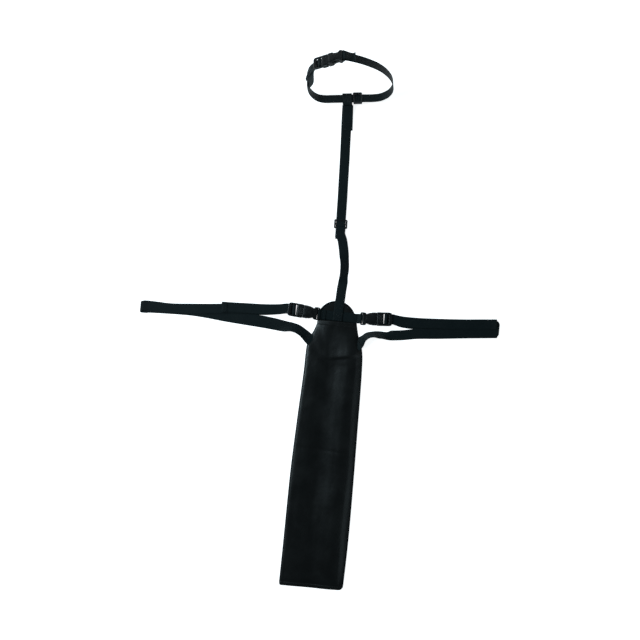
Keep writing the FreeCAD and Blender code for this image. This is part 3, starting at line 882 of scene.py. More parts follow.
@dataclass
class Stitching:
    """Rows of thread, each stitch a small round float that dips at both ends."""

    name: str
    length: float = 2.6
    gap: float = 0.7
    radius: float = 0.28
    rows: list[list[tuple[Vector, Vector]]] = field(default_factory=list)

    def row(self, points: list[Vector], normal: Vector) -> None:
        """Adds a row along points on a surface with one normal."""
        self.rows.append([(point, normal) for point in points])

    def row_on(self, pairs: list[tuple[Vector, Vector]]) -> None:
        """Adds a row along points that each have their own normal."""
        self.rows.append(pairs)

    def _stitch(self, mesh: bmesh.types.BMesh, a: Vector, b: Vector, normal: Vector) -> None:
        """Adds one stitch from a to b."""
        along = (b - a).normalized()
        side = normal.cross(along).normalized()
        up = along.cross(side)
        rings = []
        steps = 5
        for i in range(steps):
            t = i / (steps - 1)
            bow = math.sin(math.pi * t)
            centre = a.lerp(b, t) + up * (self.radius * MM * (1.1 * bow - 0.5))
            fat = self.radius * MM * (0.55 + 0.45 * bow)
            ring = []
            for k in range(6):
                angle = math.tau * k / 6
                ring.append(
                    mesh.verts.new(centre + side * (fat * math.cos(angle))
                                   + up * (fat * 0.8 * math.sin(angle)))
                )
            rings.append(ring)
        for first, second in zip(rings, rings[1:]):
            for k in range(6):
                mesh.faces.new((first[k], first[(k + 1) % 6], second[(k + 1) % 6], second[k]))
        mesh.faces.new(rings[0][::-1])
        mesh.faces.new(rings[-1])

    def build(self) -> bpy.types.Object:
        """Makes all rows as one piece.

        Returns:
            The stitching.
        """
        mesh = bmesh.new()
        for pairs in self.rows:
            lengths = [0.0]
            for (a, _), (b, _) in zip(pairs, pairs[1:]):
                lengths.append(lengths[-1] + (b - a).length)
            pitch = (self.length + self.gap) * MM
            count = max(1, round(lengths[-1] / pitch))
            pitch = lengths[-1] / count
            for i in range(count):
                ends = []
                for s in (i * pitch + self.gap * MM / 2, (i + 1) * pitch - self.gap * MM / 2):
                    k = min(bisect.bisect_right(lengths, s), len(pairs) - 1)
                    t = (s - lengths[k - 1]) / max(lengths[k] - lengths[k - 1], 1e-9)
                    ends.append((pairs[k - 1][0].lerp(pairs[k][0], t), pairs[k - 1][1]))
                self._stitch(mesh, ends[0][0], ends[1][0], ends[0][1])
        data = bpy.data.meshes.new(self.name)
        mesh.to_mesh(data)
        mesh.free()
        data.uv_layers.new(name="UVMap")
        smooth_faces(data, 80.0)
        return new_piece(self.name, data)


# ---------------------------------------------------------------- sleeve


@dataclass(frozen=True)
class Profile:
    """A smooth curve through a list of marks."""

    marks: tuple[tuple[float, float], ...]

    def __call__(self, x: float) -> float:
        """The curve's value at x, held level past its ends."""
        keys = [m for m, _ in self.marks]
        if x <= keys[0]:
            return self.marks[0][1]
        if x >= keys[-1]:
            return self.marks[-1][1]
        i = bisect.bisect_right(keys, x)
        (x0, y0), (x1, y1) = self.marks[i - 1], self.marks[i]
        before = self.marks[max(i - 2, 0)]
        after = self.marks[min(i + 1, len(keys) - 1)]
        slope0 = (y1 - before[1]) / (x1 - before[0])
        slope1 = (after[1] - y0) / (after[0] - x0)
        t = (x - x0) / (x1 - x0)
        run = x1 - x0
        rise = (2 * t**3 - 3 * t**2 + 1) * y0 + (t**3 - 2 * t**2 + t) * run * slope0
        return rise + (-2 * t**3 + 3 * t**2) * y1 + (t**3 - t**2) * run * slope1


@dataclass(frozen=True)
class Crease:
    """A fold line pressed into the cloth: a valley where depth is below zero, a ridge above."""

    start: tuple[float, float]
    end: tuple[float, float]
    depth: float
    width: float
    left_width: float | None = None

    def height(self, x: float, y: float) -> float:
        """How much the crease moves the cloth at a point, in millimetres."""
        ax, ay = self.start
        bx, by = self.end
        dx, dy = bx - ax, by - ay
        t = ((x - ax) * dx + (y - ay) * dy) / (dx * dx + dy * dy)
        clamped = min(max(t, 0.0), 1.0)
        distance = math.hypot(x - ax - clamped * dx, y - ay - clamped * dy)
        on_left = dx * (y - ay) - dy * (x - ax) > 0
        width = self.left_width if self.left_width and on_left else self.width
        fade = math.sin(math.pi * (0.1 + 0.8 * clamped))
        return self.depth * fade * math.exp(-((distance / width) ** 2))


@dataclass
class Sleeve:
    """The sleeve: rear panel with arched tongue, front panel, hems, bindings and their stitching."""

    wardrobe: Wardrobe
    tongue_top: float = 31.0
    tongue_middle: float = 2.0
    arch_foot: float = 8.0
    arch_radius: float = 39.65
    mouth: float = -12.0
    tip: float = -567.0
    cloth_thickness: float = 1.0
    sheet_half_width: float = 69.0
    left: Profile = Profile(
        ((-567, -66.5), (-493, -65.5), (-420, -65.0), (-326, -64.0), (-229, -60.5), (-152, -57.0),
         (-118, -55.5), (-81, -55.0), (-61, -53.5), (-50, -49.5), (-37, -43.0), (-22, -37.5), (-14, -36.3),
         (8, -34.0))
    )
    right: Profile = Profile(
        ((-567, 66.5), (-481, 68.5), (-406, 68.8), (-314, 68.0), (-217, 66.5), (-141, 65.5), (-86, 63.5),
         (-73, 62.0), (-61, 59.5), (-50, 55.0), (-41, 51.6), (-32, 49.0), (-14, 45.0), (-6, 43.2),
         (8, 38.0))
    )
    dome: Profile = Profile(
        ((0.0, 0.9), (0.012, 2.8), (0.04, 4.6), (0.1, 5.4), (0.22, 5.6), (0.33, 4.4), (0.42, 3.3),
         (0.52, 4.2), (0.64, 6.6), (0.76, 8.3), (0.88, 7.2), (0.955, 3.6), (1.0, 2.2))
    )
    fullness: Profile = Profile(
        ((-567, 0.36), (-548, 0.66), (-500, 0.95), (-380, 1.06), (-300, 0.98), (-270, 0.97), (-180, 1.06),
         (-110, 1.08), (-60, 1.0), (-12, 0.88))
    )
    creases: tuple[Crease, ...] = (
        Crease((-64, -277), (68, -284), -0.42, 2.6, 4.0),
        Crease((-6, -88), (60, -75), 2.5, 3.4, 22.0),
        Crease((-26, -96), (10, -56), 1.2, 18.0, 11.0),
        Crease((-44, -62), (-8, -100), -1.2, 9.0),
        Crease((4, -38), (50, -46), 0.9, 9.0),
        Crease((-30, -30), (-18, -66), -0.9, 8.0),
        Crease((10, -104), (52, -100), -0.7, 7.0),
        Crease((-14, -110), (-20, -268), -0.5, 12.0),
        Crease((-13, -290), (-22, -530), -0.8, 13.0),
        Crease((50, -150), (47, -262), -0.35, 8.0),
        Crease((-52, -330), (-47, -520), -0.3, 7.0),
        Crease((20, -400), (44, -330), 0.35, 12.0),
        Crease((-50, -215), (-10, -160), 0.4, 14.0),
        Crease((10, -520), (58, -508), 0.3, 9.0),
    )

    def edges(self, y: float) -> tuple[float, float]:
        """The left and right edge of the sleeve at a distance along it."""
        if y <= self.arch_foot:
            left, right = self.left(y), self.right(y)
            corner = 9.0
            lift = corner - (y - self.tip)
            if lift > 0:
                right -= corner - math.sqrt(max(corner**2 - lift**2, 0.0))
                left += 0.3 * (corner - math.sqrt(max(corner**2 - lift**2, 0.0)))
            return left, right
        centre = self.tongue_top - self.arch_radius
        half = math.sqrt(max(self.arch_radius**2 - (y - centre) ** 2, 0.0))
        return self.tongue_middle - half, self.tongue_middle + half

    def top(self, s: float, y: float) -> float:
        """The front panel's height above the ground.

        Args:
            s: Place across the sleeve, 0 at the left edge and 1 at the right.
            y: Place along it, in millimetres.

        Returns:
            The height in millimetres.
        """
        left, right = self.edges(y)
        x = left + (right - left) * s
        wander = 0.025 * noise.noise(Vector((y * 0.008, 3.1, 0.0)))
        edge = min(s, 1 - s) / 0.06
        held = min(max(edge, 0.0), 1.0)
        height = self.dome(s + wander * held) * (1 + (self.fullness(y) - 1) * max(held, 0.25))
        if y > -70:
            open_mouth = (y + 70) / 58
            arch = math.sin(math.pi * s) ** 0.8
            height = height * (1 - open_mouth) + open_mouth * (2.0 + 7.0 * arch)
        moved = sum(crease.height(x, y) for crease in self.creases)
        moved += 0.9 * noise.noise(Vector((x * 0.018, y * 0.006, 1.7)))
        moved += 0.22 * noise.noise(Vector((x * 0.06, y * 0.02, 5.2)))
        moved += 0.05 * noise.noise(Vector((x * 0.21, y * 0.1, 9.4)))
        return max(height + moved * held, 1.6)

    def _panel(self, name: str, rows: list[float], columns: int, surface: object) -> bpy.types.Object:
        """A panel of cloth on a grid, with its thickness under the surface.

        Args:
            name: The piece's name.
            rows: The distances along the sleeve.
            columns: The number of strips across.
            surface: A function of place across and along that gives the height.

        Returns:
            The panel.
        """
        mesh = bmesh.new()
        layer = mesh.loops.layers.uv.new("UVMap")
        grid = []
        for y in rows:
            left, right = self.edges(y)
            line = []
            for k in range(columns + 1):
                s = 0.5 - 0.5 * math.cos(math.pi * k / columns)
                s = 0.45 * s + 0.55 * k / columns
                line.append(mesh.verts.new(at(left + (right - left) * s, y, surface(s, y))))
            grid.append(line)
        for a, b in zip(grid, grid[1:]):
            for k in range(columns):
                face = mesh.faces.new((a[k], b[k], b[k + 1], a[k + 1]))
                for loop in face.loops:
                    loop[layer].uv = (loop.vert.co.x, loop.vert.co.y)
        bmesh.ops.recalc_face_normals(mesh, faces=mesh.faces)
        if sum(face.normal.z for face in mesh.faces) < 0:
            bmesh.ops.reverse_faces(mesh, faces=mesh.faces)
        data = bpy.data.meshes.new(name)
        mesh.to_mesh(data)
        mesh.free()
        piece = new_piece(name, data)
        solid = piece.modifiers.new("cloth", "SOLIDIFY")
        solid.thickness = self.cloth_thickness * MM
        solid.offset = -1.0
        solid.use_even_offset = False
        applied = bpy.data.meshes.new_from_object(
            piece.evaluated_get(bpy.context.evaluated_depsgraph_get())
        )
        piece.modifiers.clear()
        piece.data = applied
        smooth_faces(applied, 55.0)
        return piece

    def rear(self) -> bpy.types.Object:
        """Builds the rear panel with its tongue.

        Returns:
            The panel.
        """
        rows = [self.tongue_top - 0.05 - 0.9 * k**1.5 / 4 for k in range(21)]
        rows = [y for y in rows if y > self.arch_foot]
        y = self.arch_foot
        while y > self.tip:
            rows.append(y)
            y -= 2.0 if y > -20 else 5.0
        rows += [self.tip + 6, self.tip + 3, self.tip + 1, self.tip]
        rows = sorted(set(rows), reverse=True)

        def surface(s: float, y: float) -> float:
            """The rear panel's upper face, nearly flat on the ground."""
            return 1.15 + 0.12 * noise.noise(Vector((s * 3.0, y * 0.02, 8.0)))

        piece = self._panel("sleeve_rear_panel", rows, 40, surface)
        self.wardrobe.dress(piece, Slot.CLOTH)
        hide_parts("sleeve_back")
        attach(piece, "harness")
        return piece

    def front(self) -> bpy.types.Object:
        """Builds the front panel, from the mouth to the tip.

        Returns:
            The panel.
        """
        rows = [self.mouth - 2.3 * k for k in range(int((self.mouth - self.tip) / 2.3))]
        rows += [self.tip + 1.5, self.tip + 0.6, self.tip]
        piece = self._panel("sleeve_front_panel", sorted(set(rows), reverse=True), 84, self.top)
        self.wardrobe.dress(piece, Slot.CLOTH)
        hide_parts("sleeve_front")
        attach(piece, "harness")
        return piece

    def surface_line(
        self, points: list[tuple[float, float]], lift: float = 0.0
    ) -> list[tuple[Vector, Vector]]:
        """Points and normals on the front panel along straight runs.

        Args:
            points: The corners of the line, in layout millimetres.
            lift: How far above the cloth.

        Returns:
            Pairs of point and normal.
        """
        pairs = []
        for (ax, ay), (bx, by) in zip(points, points[1:]):
            steps = max(2, int(math.hypot(bx - ax, by - ay) / 2.5))
            for k in range(steps + 1):
                x = ax + (bx - ax) * k / steps
                y = ay + (by - ay) * k / steps
                left, right = self.edges(y)
                s = (x - left) / (right - left)
                slope = (
                    self.top(min(s + 0.01, 1.0), y) - self.top(max(s - 0.01, 0.0), y)
                ) / (0.02 * (right - left))
                normal = Vector((-slope, 0.0, 1.0)).normalized()
                pairs.append((at(x, y, self.top(s, y) + lift), normal))
        return pairs

    def _hem(
        self, name: str, node: str, low: float, high: float, inset: float, right_inset: float
    ) -> bpy.types.Object:
        """A hem: a second layer of cloth turned over on the front panel.

        Args:
            name: The piece's name.
            node: The CAD node it stands for.
            low: Its lower edge along the sleeve.
            high: Its upper edge.
            inset: How far it starts inside the left edge, as a share of the width.
            right_inset: How far it ends inside the right edge.

        Returns:
            The hem.
        """

        def surface(s: float, y: float) -> float:
            """A layer just above the front panel, with its edges pressed down."""
            across = inset + (1 - inset - right_inset) * s
            t = (y - low) / (high - low)
            lift = 0.75 * min(1.0, 4 * min(t, 1 - t) + 0.2)
            return self.top(across, y) + lift

        rows = [high - (high - low) * k / 10 for k in range(11)]
        mesh = bmesh.new()
        grid = []
        for y in rows:
            left, right = self.edges(y)
            line = []
            for k in range(61):
                s = k / 60
                across = inset + (1 - inset - right_inset) * s
                line.append(mesh.verts.new(at(left + (right - left) * across, y, surface(s, y))))
            grid.append(line)
        for a, b in zip(grid, grid[1:]):
            for k in range(60):
                mesh.faces.new((a[k], b[k], b[k + 1], a[k + 1]))
        bmesh.ops.recalc_face_normals(mesh, faces=mesh.faces)
        if sum(face.normal.z for face in mesh.faces) < 0:
            bmesh.ops.reverse_faces(mesh, faces=mesh.faces)
        bmesh.ops.solidify(mesh, geom=mesh.faces[:], thickness=0.7 * MM)
        data = bpy.data.meshes.new(name)
        mesh.to_mesh(data)
        mesh.free()
        data.uv_layers.new(name="UVMap")
        smooth_faces(data, 50.0)
        piece = new_piece(name, data)
        self.wardrobe.dress(piece, Slot.HEM)
        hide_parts(node)
        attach(piece, "harness")
        return piece

    def hems(self) -> list[bpy.types.Object]:
        """Builds the mouth hem and the tip hem."""
        mouth = self._hem("mouth_fold", "mouth_hem", self.mouth - 9.0, self.mouth + 0.4, 0.03, 0.03)
        tip = self._hem("tip_fold", "tip_hem", self.tip + 0.5, self.tip + 8.0, 0.004, 0.02)
        return [mouth, tip]

    def bindings(self) -> list[bpy.types.Object]:
        """Builds the tongue's edge binding and the binding down the right seam.

        Returns:
            Both bindings.
        """
        low = -46.0
        rim = []
        for k in range(12):
            y = low + (self.arch_foot - low) * k / 11
            rim.append(at(self.edges(y)[0] + 1.1, y, 1.15))
        centre = self.tongue_top - self.arch_radius
        foot = math.asin((self.arch_foot - centre) / self.arch_radius)
        for k in range(1, 24):
            angle = math.pi - foot - (math.pi - 2 * foot) * k / 24
            y = centre + self.arch_radius * math.sin(angle)
            x = self.tongue_middle + (self.arch_radius - 1.1) * math.cos(angle)
            rim.append(at(x, y - 1.1 * math.sin(angle), 1.15))
        for k in range(12):
            y = self.arch_foot + (low - self.arch_foot) * k / 11
            rim.append(at(self.edges(y)[1] - 1.1, y, 1.15))
        line = Line(spline_points(rim, 1.5 * MM), Vector((1, 0, 0)))
        tongue = Strap(
            "tongue_edge_tape", line, width=3.4, thickness=2.1, crown=0.1, across=6, waver=0.1, seed=5
        ).build()
        self.wardrobe.dress(tongue, Slot.TAPE)
        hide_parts("tongue_binding")
        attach(tongue, "harness")
        seam_points = []
        for k in range(60):
            y = -58.0 + (self.tip + 6 + 58.0) * k / 59
            seam_points.append(
                at(self.edges(y)[1] - 1.2, y, 1.9 + 0.25 * noise.noise(Vector((y * 0.05, 2, 2))))
            )
        line = Line(spline_points(seam_points, 2.5 * MM), Vector((1, 0, 0)))
        seam = Strap(
            "seam_tape", line, width=3.4, thickness=2.6, crown=0.15, across=6, waver=0.15, seed=6
        ).build()
        self.wardrobe.dress(seam, Slot.TAPE)
        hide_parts("side_seam_binding")
        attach(seam, "harness")
        return [tongue, seam]

    def stitching(self) -> bpy.types.Object:
        """Sews the hems, the tongue's rim and the right seam.

        Returns:
            The stitching.
        """
        sewing = Stitching("sleeve_stitching")
        for inset in (1.6, 7.4):
            y = self.mouth - inset
            left, right = self.edges(y)
            sewing.row_on(self.surface_line([(left + 3.5, y), (right - 3.5, y)], 0.78))
        y = self.tip + 6.6
        left, right = self.edges(y)
        sewing.row_on(self.surface_line([(left + 2.5, y), (right - 5.0, y)], 0.72))
        inner = self.arch_radius - 3.6
        centre = self.tongue_top - self.arch_radius
        arc = []
        for k in range(40):
            angle = math.radians(155 - 130 * k / 39)
            arc.append(
                at(self.tongue_middle + inner * math.cos(angle), centre + inner * math.sin(angle), 1.25)
            )
        sewing.row(arc, Vector((0, 0, 1)))
        rows = [(self.edges(y)[1] - 4.6, y) for y in range(-90, -560, -12)]
        sewing.row_on(self.surface_line(rows, 0.05))
        piece = sewing.build()
        self.wardrobe.dress(piece, Slot.THREAD)
        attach(piece, "harness")
        return piece

    def build(self) -> list[bpy.types.Object]:
        """Builds the whole sleeve.

        Returns:
            Its pieces.
        """
        rear = self.rear()
        front = self.front()
        hems = self.hems()
        bindings = self.bindings()
        stitching = self.stitching()
        for k in range(120):
            y = self.tip + (self.tongue_top - self.tip) * (k + 0.5) / 120
            left, right = self.edges(y)
        return [rear, front, *hems, *bindings, stitching]


# ---------------------------------------------------------------- buckles and sliders


def joint(name: str) -> dict:
    """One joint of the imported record."""
    return next(j for j in frame["joints"] if j["name"] == name)


@dataclass
class Buckle:
    """A side-release buckle, placed by its joints: x runs from the fixed bar to the plug's end."""

    side: str
    socket_body: str
    plug_body: str
    wardrobe: Wardrobe
    hinge_x: float = 31.5
    width: float = 27.0
    waist: float = 19.8
    height: float = 9.5
    plug_width: float = 28.5
    bar_height: float = 3.4
    fixed_bar_middle: float = -0.4
    ladder_middle: float = 1.1

    def __post_init__(self) -> None:
        """Finds the buckle's place from the release and squeeze joints."""
        release = joint(f"{self.side}_release")
        front = joint(f"{self.side}_squeeze_front")
        back = joint(f"{self.side}_squeeze_back")
        along = Vector(release["axis"]).normalized()
        up = Vector(back["axis"]).normalized()
        across = up.cross(along)
        hinge = (Vector(front["pos_m"]) + Vector(back["pos_m"])) / 2
        start = hinge - along * (self.hinge_x * MM)
        turn = Matrix((along, across, up)).transposed().to_4x4()
        self.place = Matrix.Translation(start) @ turn
        self.along = along
        self.across = across

    def point(self, x: float, z: float, y: float = 0.0) -> Vector:
        """A point of the buckle's own frame, in millimetres, in the frame."""
        return self.place @ (Vector((x, y, z)) * MM)

    def _both(self, outline: list[tuple[float, float]]) -> list[tuple[float, float]]:
        """An outline closed by its mirror image across the buckle's middle."""
        return outline + [(x, -y) for x, y in reversed(outline)]

    def socket(self) -> bpy.types.Object:
        """Builds the socket half: two shells, mouth walls, rear block and webbing bar.

        Returns:
            The socket half.
        """
        half = self.width / 2
        waist = self.waist / 2
        shell = [
            (4.8, half - 0.6), (9.4, half - 0.2), (12.2, waist + 0.2), (16.5, waist - 0.3),
            (21.5, waist + 0.2)
        ]
        shell += [(24.2, half - 0.3), (29.5, half), (34.0, half - 0.3)]
        outline = self._both(shell)
        plate = 2.5
        meshes = []
        for sign in (-1, 1):
            middle = sign * (self.height - plate) / 2
            meshes.append(Slab(outline, plate, middle, 1.0, 1.6).mesh())
            pad = self._both([(11.5, 4.8), (20.0, 5.6), (32.0, 8.6)])
            meshes.append(Slab(pad, 0.9, sign * (self.height / 2 + 0.05), 0.35, 1.4).mesh())
            for k in range(4):
                x = 25.4 + 2.0 * k
                for side in (-1, 1):
                    rib = rectangle(
                        x, x + 0.9, min(side * 10.0, side * 12.4), max(side * 10.0, side * 12.4)
                    )
                    meshes.append(Slab(rib, 0.8, sign * (self.height / 2 + 0.02), 0.35, 0.4).mesh())
        meshes.append(
            Slab(rectangle(4.4, 11.4, -half + 0.6, half - 0.6), self.height - 1.0, 0, 1.0, 1.4).mesh()
        )
        for side in (-1, 1):
            wall = rectangle(24.2, 33.8, min(side * 11.3, side * half), max(side * 11.3, side * half))
            meshes.append(Slab(wall, self.height - 1.2, 0, 0.8, 0.9).mesh())
        bar_frame = rectangle(0.0, 9.0, -half, half)
        slot = rectangle(3.0, 4.6, -10.5, 10.5)
        meshes.append(Slab(bar_frame, self.bar_height, self.fixed_bar_middle, 1.1, 2.6, [slot], 1.0).mesh())
        piece = joined(f"{self.side}_socket", meshes, self.place)
        self.wardrobe.dress(piece, Slot.PLASTIC)
        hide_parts(f"{self.side}_buckle_female")
        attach(piece, self.socket_body)
        return piece

    def plug(self) -> bpy.types.Object:
        """Builds the plug half: base, root, guide and the ladder with its two slots.

        Returns:
            The plug half.
        """
        half = self.plug_width / 2
        meshes = []
        base = self._both([(34.15, half - 0.9), (36.0, half), (46.6, half)])
        meshes.append(Slab(base, 7.0, 0.0, 1.7, 1.2).mesh())
        for k in range(4):
            rib = rectangle(36.4 + 2.3 * k, 37.5 + 2.3 * k, -9.6 + 0.7 * k, 9.6 - 0.7 * k)
            meshes.append(Slab(rib, 0.9, 3.45, 0.4, 0.5).mesh())
        ladder = self._both([(45.2, half), (60.5, half), (64.5, half - 1.2), (66.0, half - 5.0)])
        holes = [rectangle(48.3, 50.9, -10.5, 10.5), rectangle(55.1, 59.0, -10.5, 10.5)]
        meshes.append(Slab(ladder, self.bar_height, self.ladder_middle, 1.1, 2.2, holes, 1.2).mesh())
        meshes.append(Slab(rectangle(32.4, 35.0, -10.9, 10.9), 4.4, 0, 0.5, 0.6).mesh())
        guide = self._both([(12.2, 1.3), (14.5, 2.4), (34.8, 2.5)])
        meshes.append(Slab(guide, 4.4, 0, 0.6, 0.6).mesh())
        piece = joined(f"{self.side}_plug", meshes, self.place)
        self.wardrobe.dress(piece, Slot.PLASTIC)
        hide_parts(f"{self.side}_buckle_male")
        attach(piece, self.plug_body)
        return piece

    def prongs(self) -> list[bpy.types.Object]:
        """Builds the two sprung prongs, each on its own body."""
        pieces = []
        outline = [
            (32.2, 6.3), (32.2, 9.3), (25.6, 9.1), (23.7, 9.7), (23.7, 12.9), (20.4, 12.7), (14.6, 10.8),
            (11.0, 8.6), (11.0, 6.3)
        ]
        for side, word in ((-1, "front"), (1, "back")):
            shape = [(x, side * y) for x, y in outline]
            name = f"{self.side}_prong_{word}"
            piece = joined(f"{name}_arm", [Slab(shape, 4.4, 0, 0.7, 0.7).mesh()], self.place)
            self.wardrobe.dress(piece, Slot.PLASTIC)
            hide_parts(name)
            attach(piece, name)
            pieces.append(piece)
        return pieces

    def bar_wrap(self, reach: float) -> list[Vector]:
        """Webbing's line from its sewn return, round the fixed bar and away under it."""
        marks = [
            (-reach, -1.35), (-reach / 2, -1.35), (-5.0, -1.0), (-2.4, 0.3), (-0.6, 1.7), (1.4, 2.15),
            (3.2, 1.7)
        ]
        marks += [
            (3.9, 0.2), (3.9, -1.4), (3.1, -2.6), (1.2, -2.9), (-2.0, -2.9), (-reach / 2, -2.85),
            (-reach, -2.85)
        ]
        return [self.point(x, z) for x, z in marks]

    def ladder_wrap(self) -> list[Vector]:
        """Webbing's line from the free tail, over the middle bar and away under the end bar."""
        marks = [
            (68.0, -1.35), (63.0, -1.35), (58.6, -1.3), (56.9, -0.6), (56.0, 0.9), (55.6, 2.6), (54.6, 3.6),
            (53.0, 3.75)
        ]
        marks += [
            (51.4, 3.6), (50.3, 2.6), (50.1, 0.8), (50.3, -1.2), (51.2, -2.5), (53.4, -2.85), (60.0, -2.85),
            (68.0, -2.85)
        ]
        return [self.point(x, z) for x, z in marks]

    def build(self) -> list[bpy.types.Object]:
        """Builds the four moulded pieces."""
        return [self.socket(), self.plug(), *self.prongs()]


@dataclass
class TriGlide:
    """A tri-glide slider: two raised outer bars, side rails and a low middle bar."""

    name: str
    node: str
    body: str
    place: Matrix
    wardrobe: Wardrobe
    width: float = 27.7
    length: float = 19.0
    height: float = 5.0

    def build(self) -> bpy.types.Object:
        """Builds the slider.

        Returns:
            The slider.
        """
        half_w, half_l = self.width / 2, self.length / 2
        window = rectangle(-10.4, 10.4, -half_l + 3.0, half_l - 3.0)
        outer = rectangle(-half_w, half_w, -half_l, half_l)
        meshes = [Slab(outer, 1.75, self.height - 0.88, 0.8, 2.6, [window], 0.9).mesh()]
        for side in (-1, 1):
            rail = rectangle(
                min(side * 10.4, side * half_w), max(side * 10.4, side * half_w), -half_l + 0.6,
                half_l - 0.6
            )
            meshes.append(Slab(rail, self.height - 0.3, self.height / 2, 1.1, 1.4).mesh())
        bar = rectangle(-half_w + 0.5, half_w - 0.5, -1.6, 1.6)
        meshes.append(Slab(bar, 1.2, 0.62, 0.5, 0.7).mesh())
        piece = joined(self.name, meshes, self.place)
        self.wardrobe.dress(piece, Slot.PLASTIC)
        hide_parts(self.node)
        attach(piece, self.body)
        return piece


# ---------------------------------------------------------------- straps on the ground


def sewn_box(
    line: Line, start: float, end: float, half_width: float, lift: float, cross: bool = True
) -> list[list[tuple[Vector, Vector]]]:
    """Stitch rows of a box with a cross in it, on a strap's upper face.

    Args:
        line: The strap's line.
        start: Where the box starts along it, in metres.
        end: Where it ends.
        half_width: Half the box's width, in metres.
        lift: How far the face lies above the line.
        cross: Whether to sew the diagonals.

    Returns:
        The rows.
    """

    def spot(length: float, across: float) -> tuple[Vector, Vector]:
        """A point on the strap's face and its normal."""
        point, side, normal = line.frame_at(length)
        if normal.z < 0:
            normal = -normal
        return point + side * across + normal * lift, normal

    def run(a: tuple[float, float], b: tuple[float, float]) -> list[tuple[Vector, Vector]]:
        """One straight row between two corners."""
        return [spot(a[0] + (b[0] - a[0]) * k / 8, a[1] + (b[1] - a[1]) * k / 8) for k in range(9)]

    corners = [(start, -half_width), (end, -half_width), (end, half_width), (start, half_width)]
    rows = [run(corners[k], corners[(k + 1) % 4]) for k in range(4)]
    if cross:
        rows += [run(corners[0], corners[2]), run(corners[1], corners[3])]
    return rows


@dataclass
class LegLoop:
    """One leg loop: the strap through the buckle's ladder, its fold, and the strap sewn to the sleeve."""

    side: str
    buckle: Buckle
    wardrobe: Wardrobe
    tail: list[tuple[float, float, float]]
    upper: list[tuple[float, float, float]]
    lower: list[tuple[float, float, float]]
    twists: list[tuple[float, float]]
    widths: list[tuple[float, float]]
    seed: int

    def strap(self) -> bpy.types.Object:
        """Builds the threaded strap: tail, wrap round the middle bar, upper run and end fold.

        Returns:
            The strap.
        """
        points = [at(*p) for p in self.tail] + self.buckle.ladder_wrap() + [at(*p) for p in self.upper]
        dense = spline_points(points, 1.8 * MM)
        self.line = Line(dense, Vector((0, 1, 0)))
        self.line.sides = [Vector((0, 1, 0)) for _ in dense]
        piece = Strap(f"{self.side}_leg_strap", self.line, width=21.2, seed=self.seed).build()
        self.wardrobe.dress(piece, Slot.WEBBING)
        nodes = [f"{self.side}_leg_{word}" for word in ("upper", "tail", "fold")]
        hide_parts(*nodes)
        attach(piece, f"{self.side}_loop")
        return piece

    def tail_fold(self) -> bpy.types.Object:
        """Builds the turned-over end of the free tail.

        Returns:
            The fold.
        """
        marks = [(10.0, 1.5), (5.0, 1.55), (1.0, 1.5), (-0.6, 1.1), (-0.9, 0.5), (-0.2, 0.05)]
        points = []
        for distance, rise in marks:
            point, _, normal = self.line.frame_at(max(distance, 0.0) * MM)
            tangent = (self.line.points[1] - self.line.points[0]).normalized()
            if normal.z < 0:
                normal = -normal
            points.append(point + tangent * (min(distance, 0.0) * MM) + normal * (rise * MM))
        line = Line(spline_points(points, 0.8 * MM), Vector((0, 1, 0)))
        piece = Strap(
            f"{self.side}_tail_turn", line, width=21.6, thickness=1.35, seed=self.seed + 9
        ).build()
        self.wardrobe.dress(piece, Slot.WEBBING)
        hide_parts(f"{self.side}_tail_hem")
        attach(piece, f"{self.side}_loop")
        return piece

    def sewn_strap(self) -> bpy.types.Object:
        """Builds the lower strap, from the end fold to the sleeve's edge.

        Returns:
            The strap.
        """
        points = [at(*p) for p in self.lower]
        self.low_line = Line(spline_points(points, 2.2 * MM), Vector((0, 1, 0)), self.twists)
        piece = Strap(
            f"{self.side}_sewn_strap", self.low_line, widths=self.widths, seed=self.seed + 3
        ).build()
        self.wardrobe.dress(piece, Slot.WEBBING)
        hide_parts(f"{self.side}_leg_lower")
        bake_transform(piece)
        return piece

    def stitching(self) -> list[bpy.types.Object]:
        """Sews the tail's turned end and the strap's end at the sleeve.

        Returns:
            The stitching on the loop and on the sleeve.
        """
        hem = Stitching(f"{self.side}_tail_stitching", length=2.0, gap=0.6)
        for row in sewn_box(self.line, 2.0 * MM, 7.5 * MM, 8.0 * MM, 2.3 * MM, cross=False):
            hem.row_on(row)
        hem_piece = hem.build()
        self.wardrobe.dress(hem_piece, Slot.THREAD)
        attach(hem_piece, f"{self.side}_loop")
        tack = Stitching(f"{self.side}_edge_tack", length=2.2, gap=0.3, radius=0.32)
        total = self.low_line.total
        for k in range(5):
            reach = total - (15.0 - 1.1 * k) * MM
            pairs = []
            for j in range(9):
                point, side, normal = self.low_line.frame_at(reach)
                if normal.z < 0:
                    normal = -normal
                pairs.append((point + side * ((j - 4) * 2.0 * MM) + normal * 0.85 * MM, normal))
            tack.row_on(pairs)
        tack_piece = tack.build()
        self.wardrobe.dress(tack_piece, Slot.THREAD)
        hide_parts(f"{self.side}_leg_bartack")
        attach(tack_piece, "harness")
        return [hem_piece, tack_piece]

    def build(self) -> list[bpy.types.Object]:
        """Builds the loop's pieces."""
        return [self.strap(), self.tail_fold(), self.sewn_strap(), *self.stitching()]


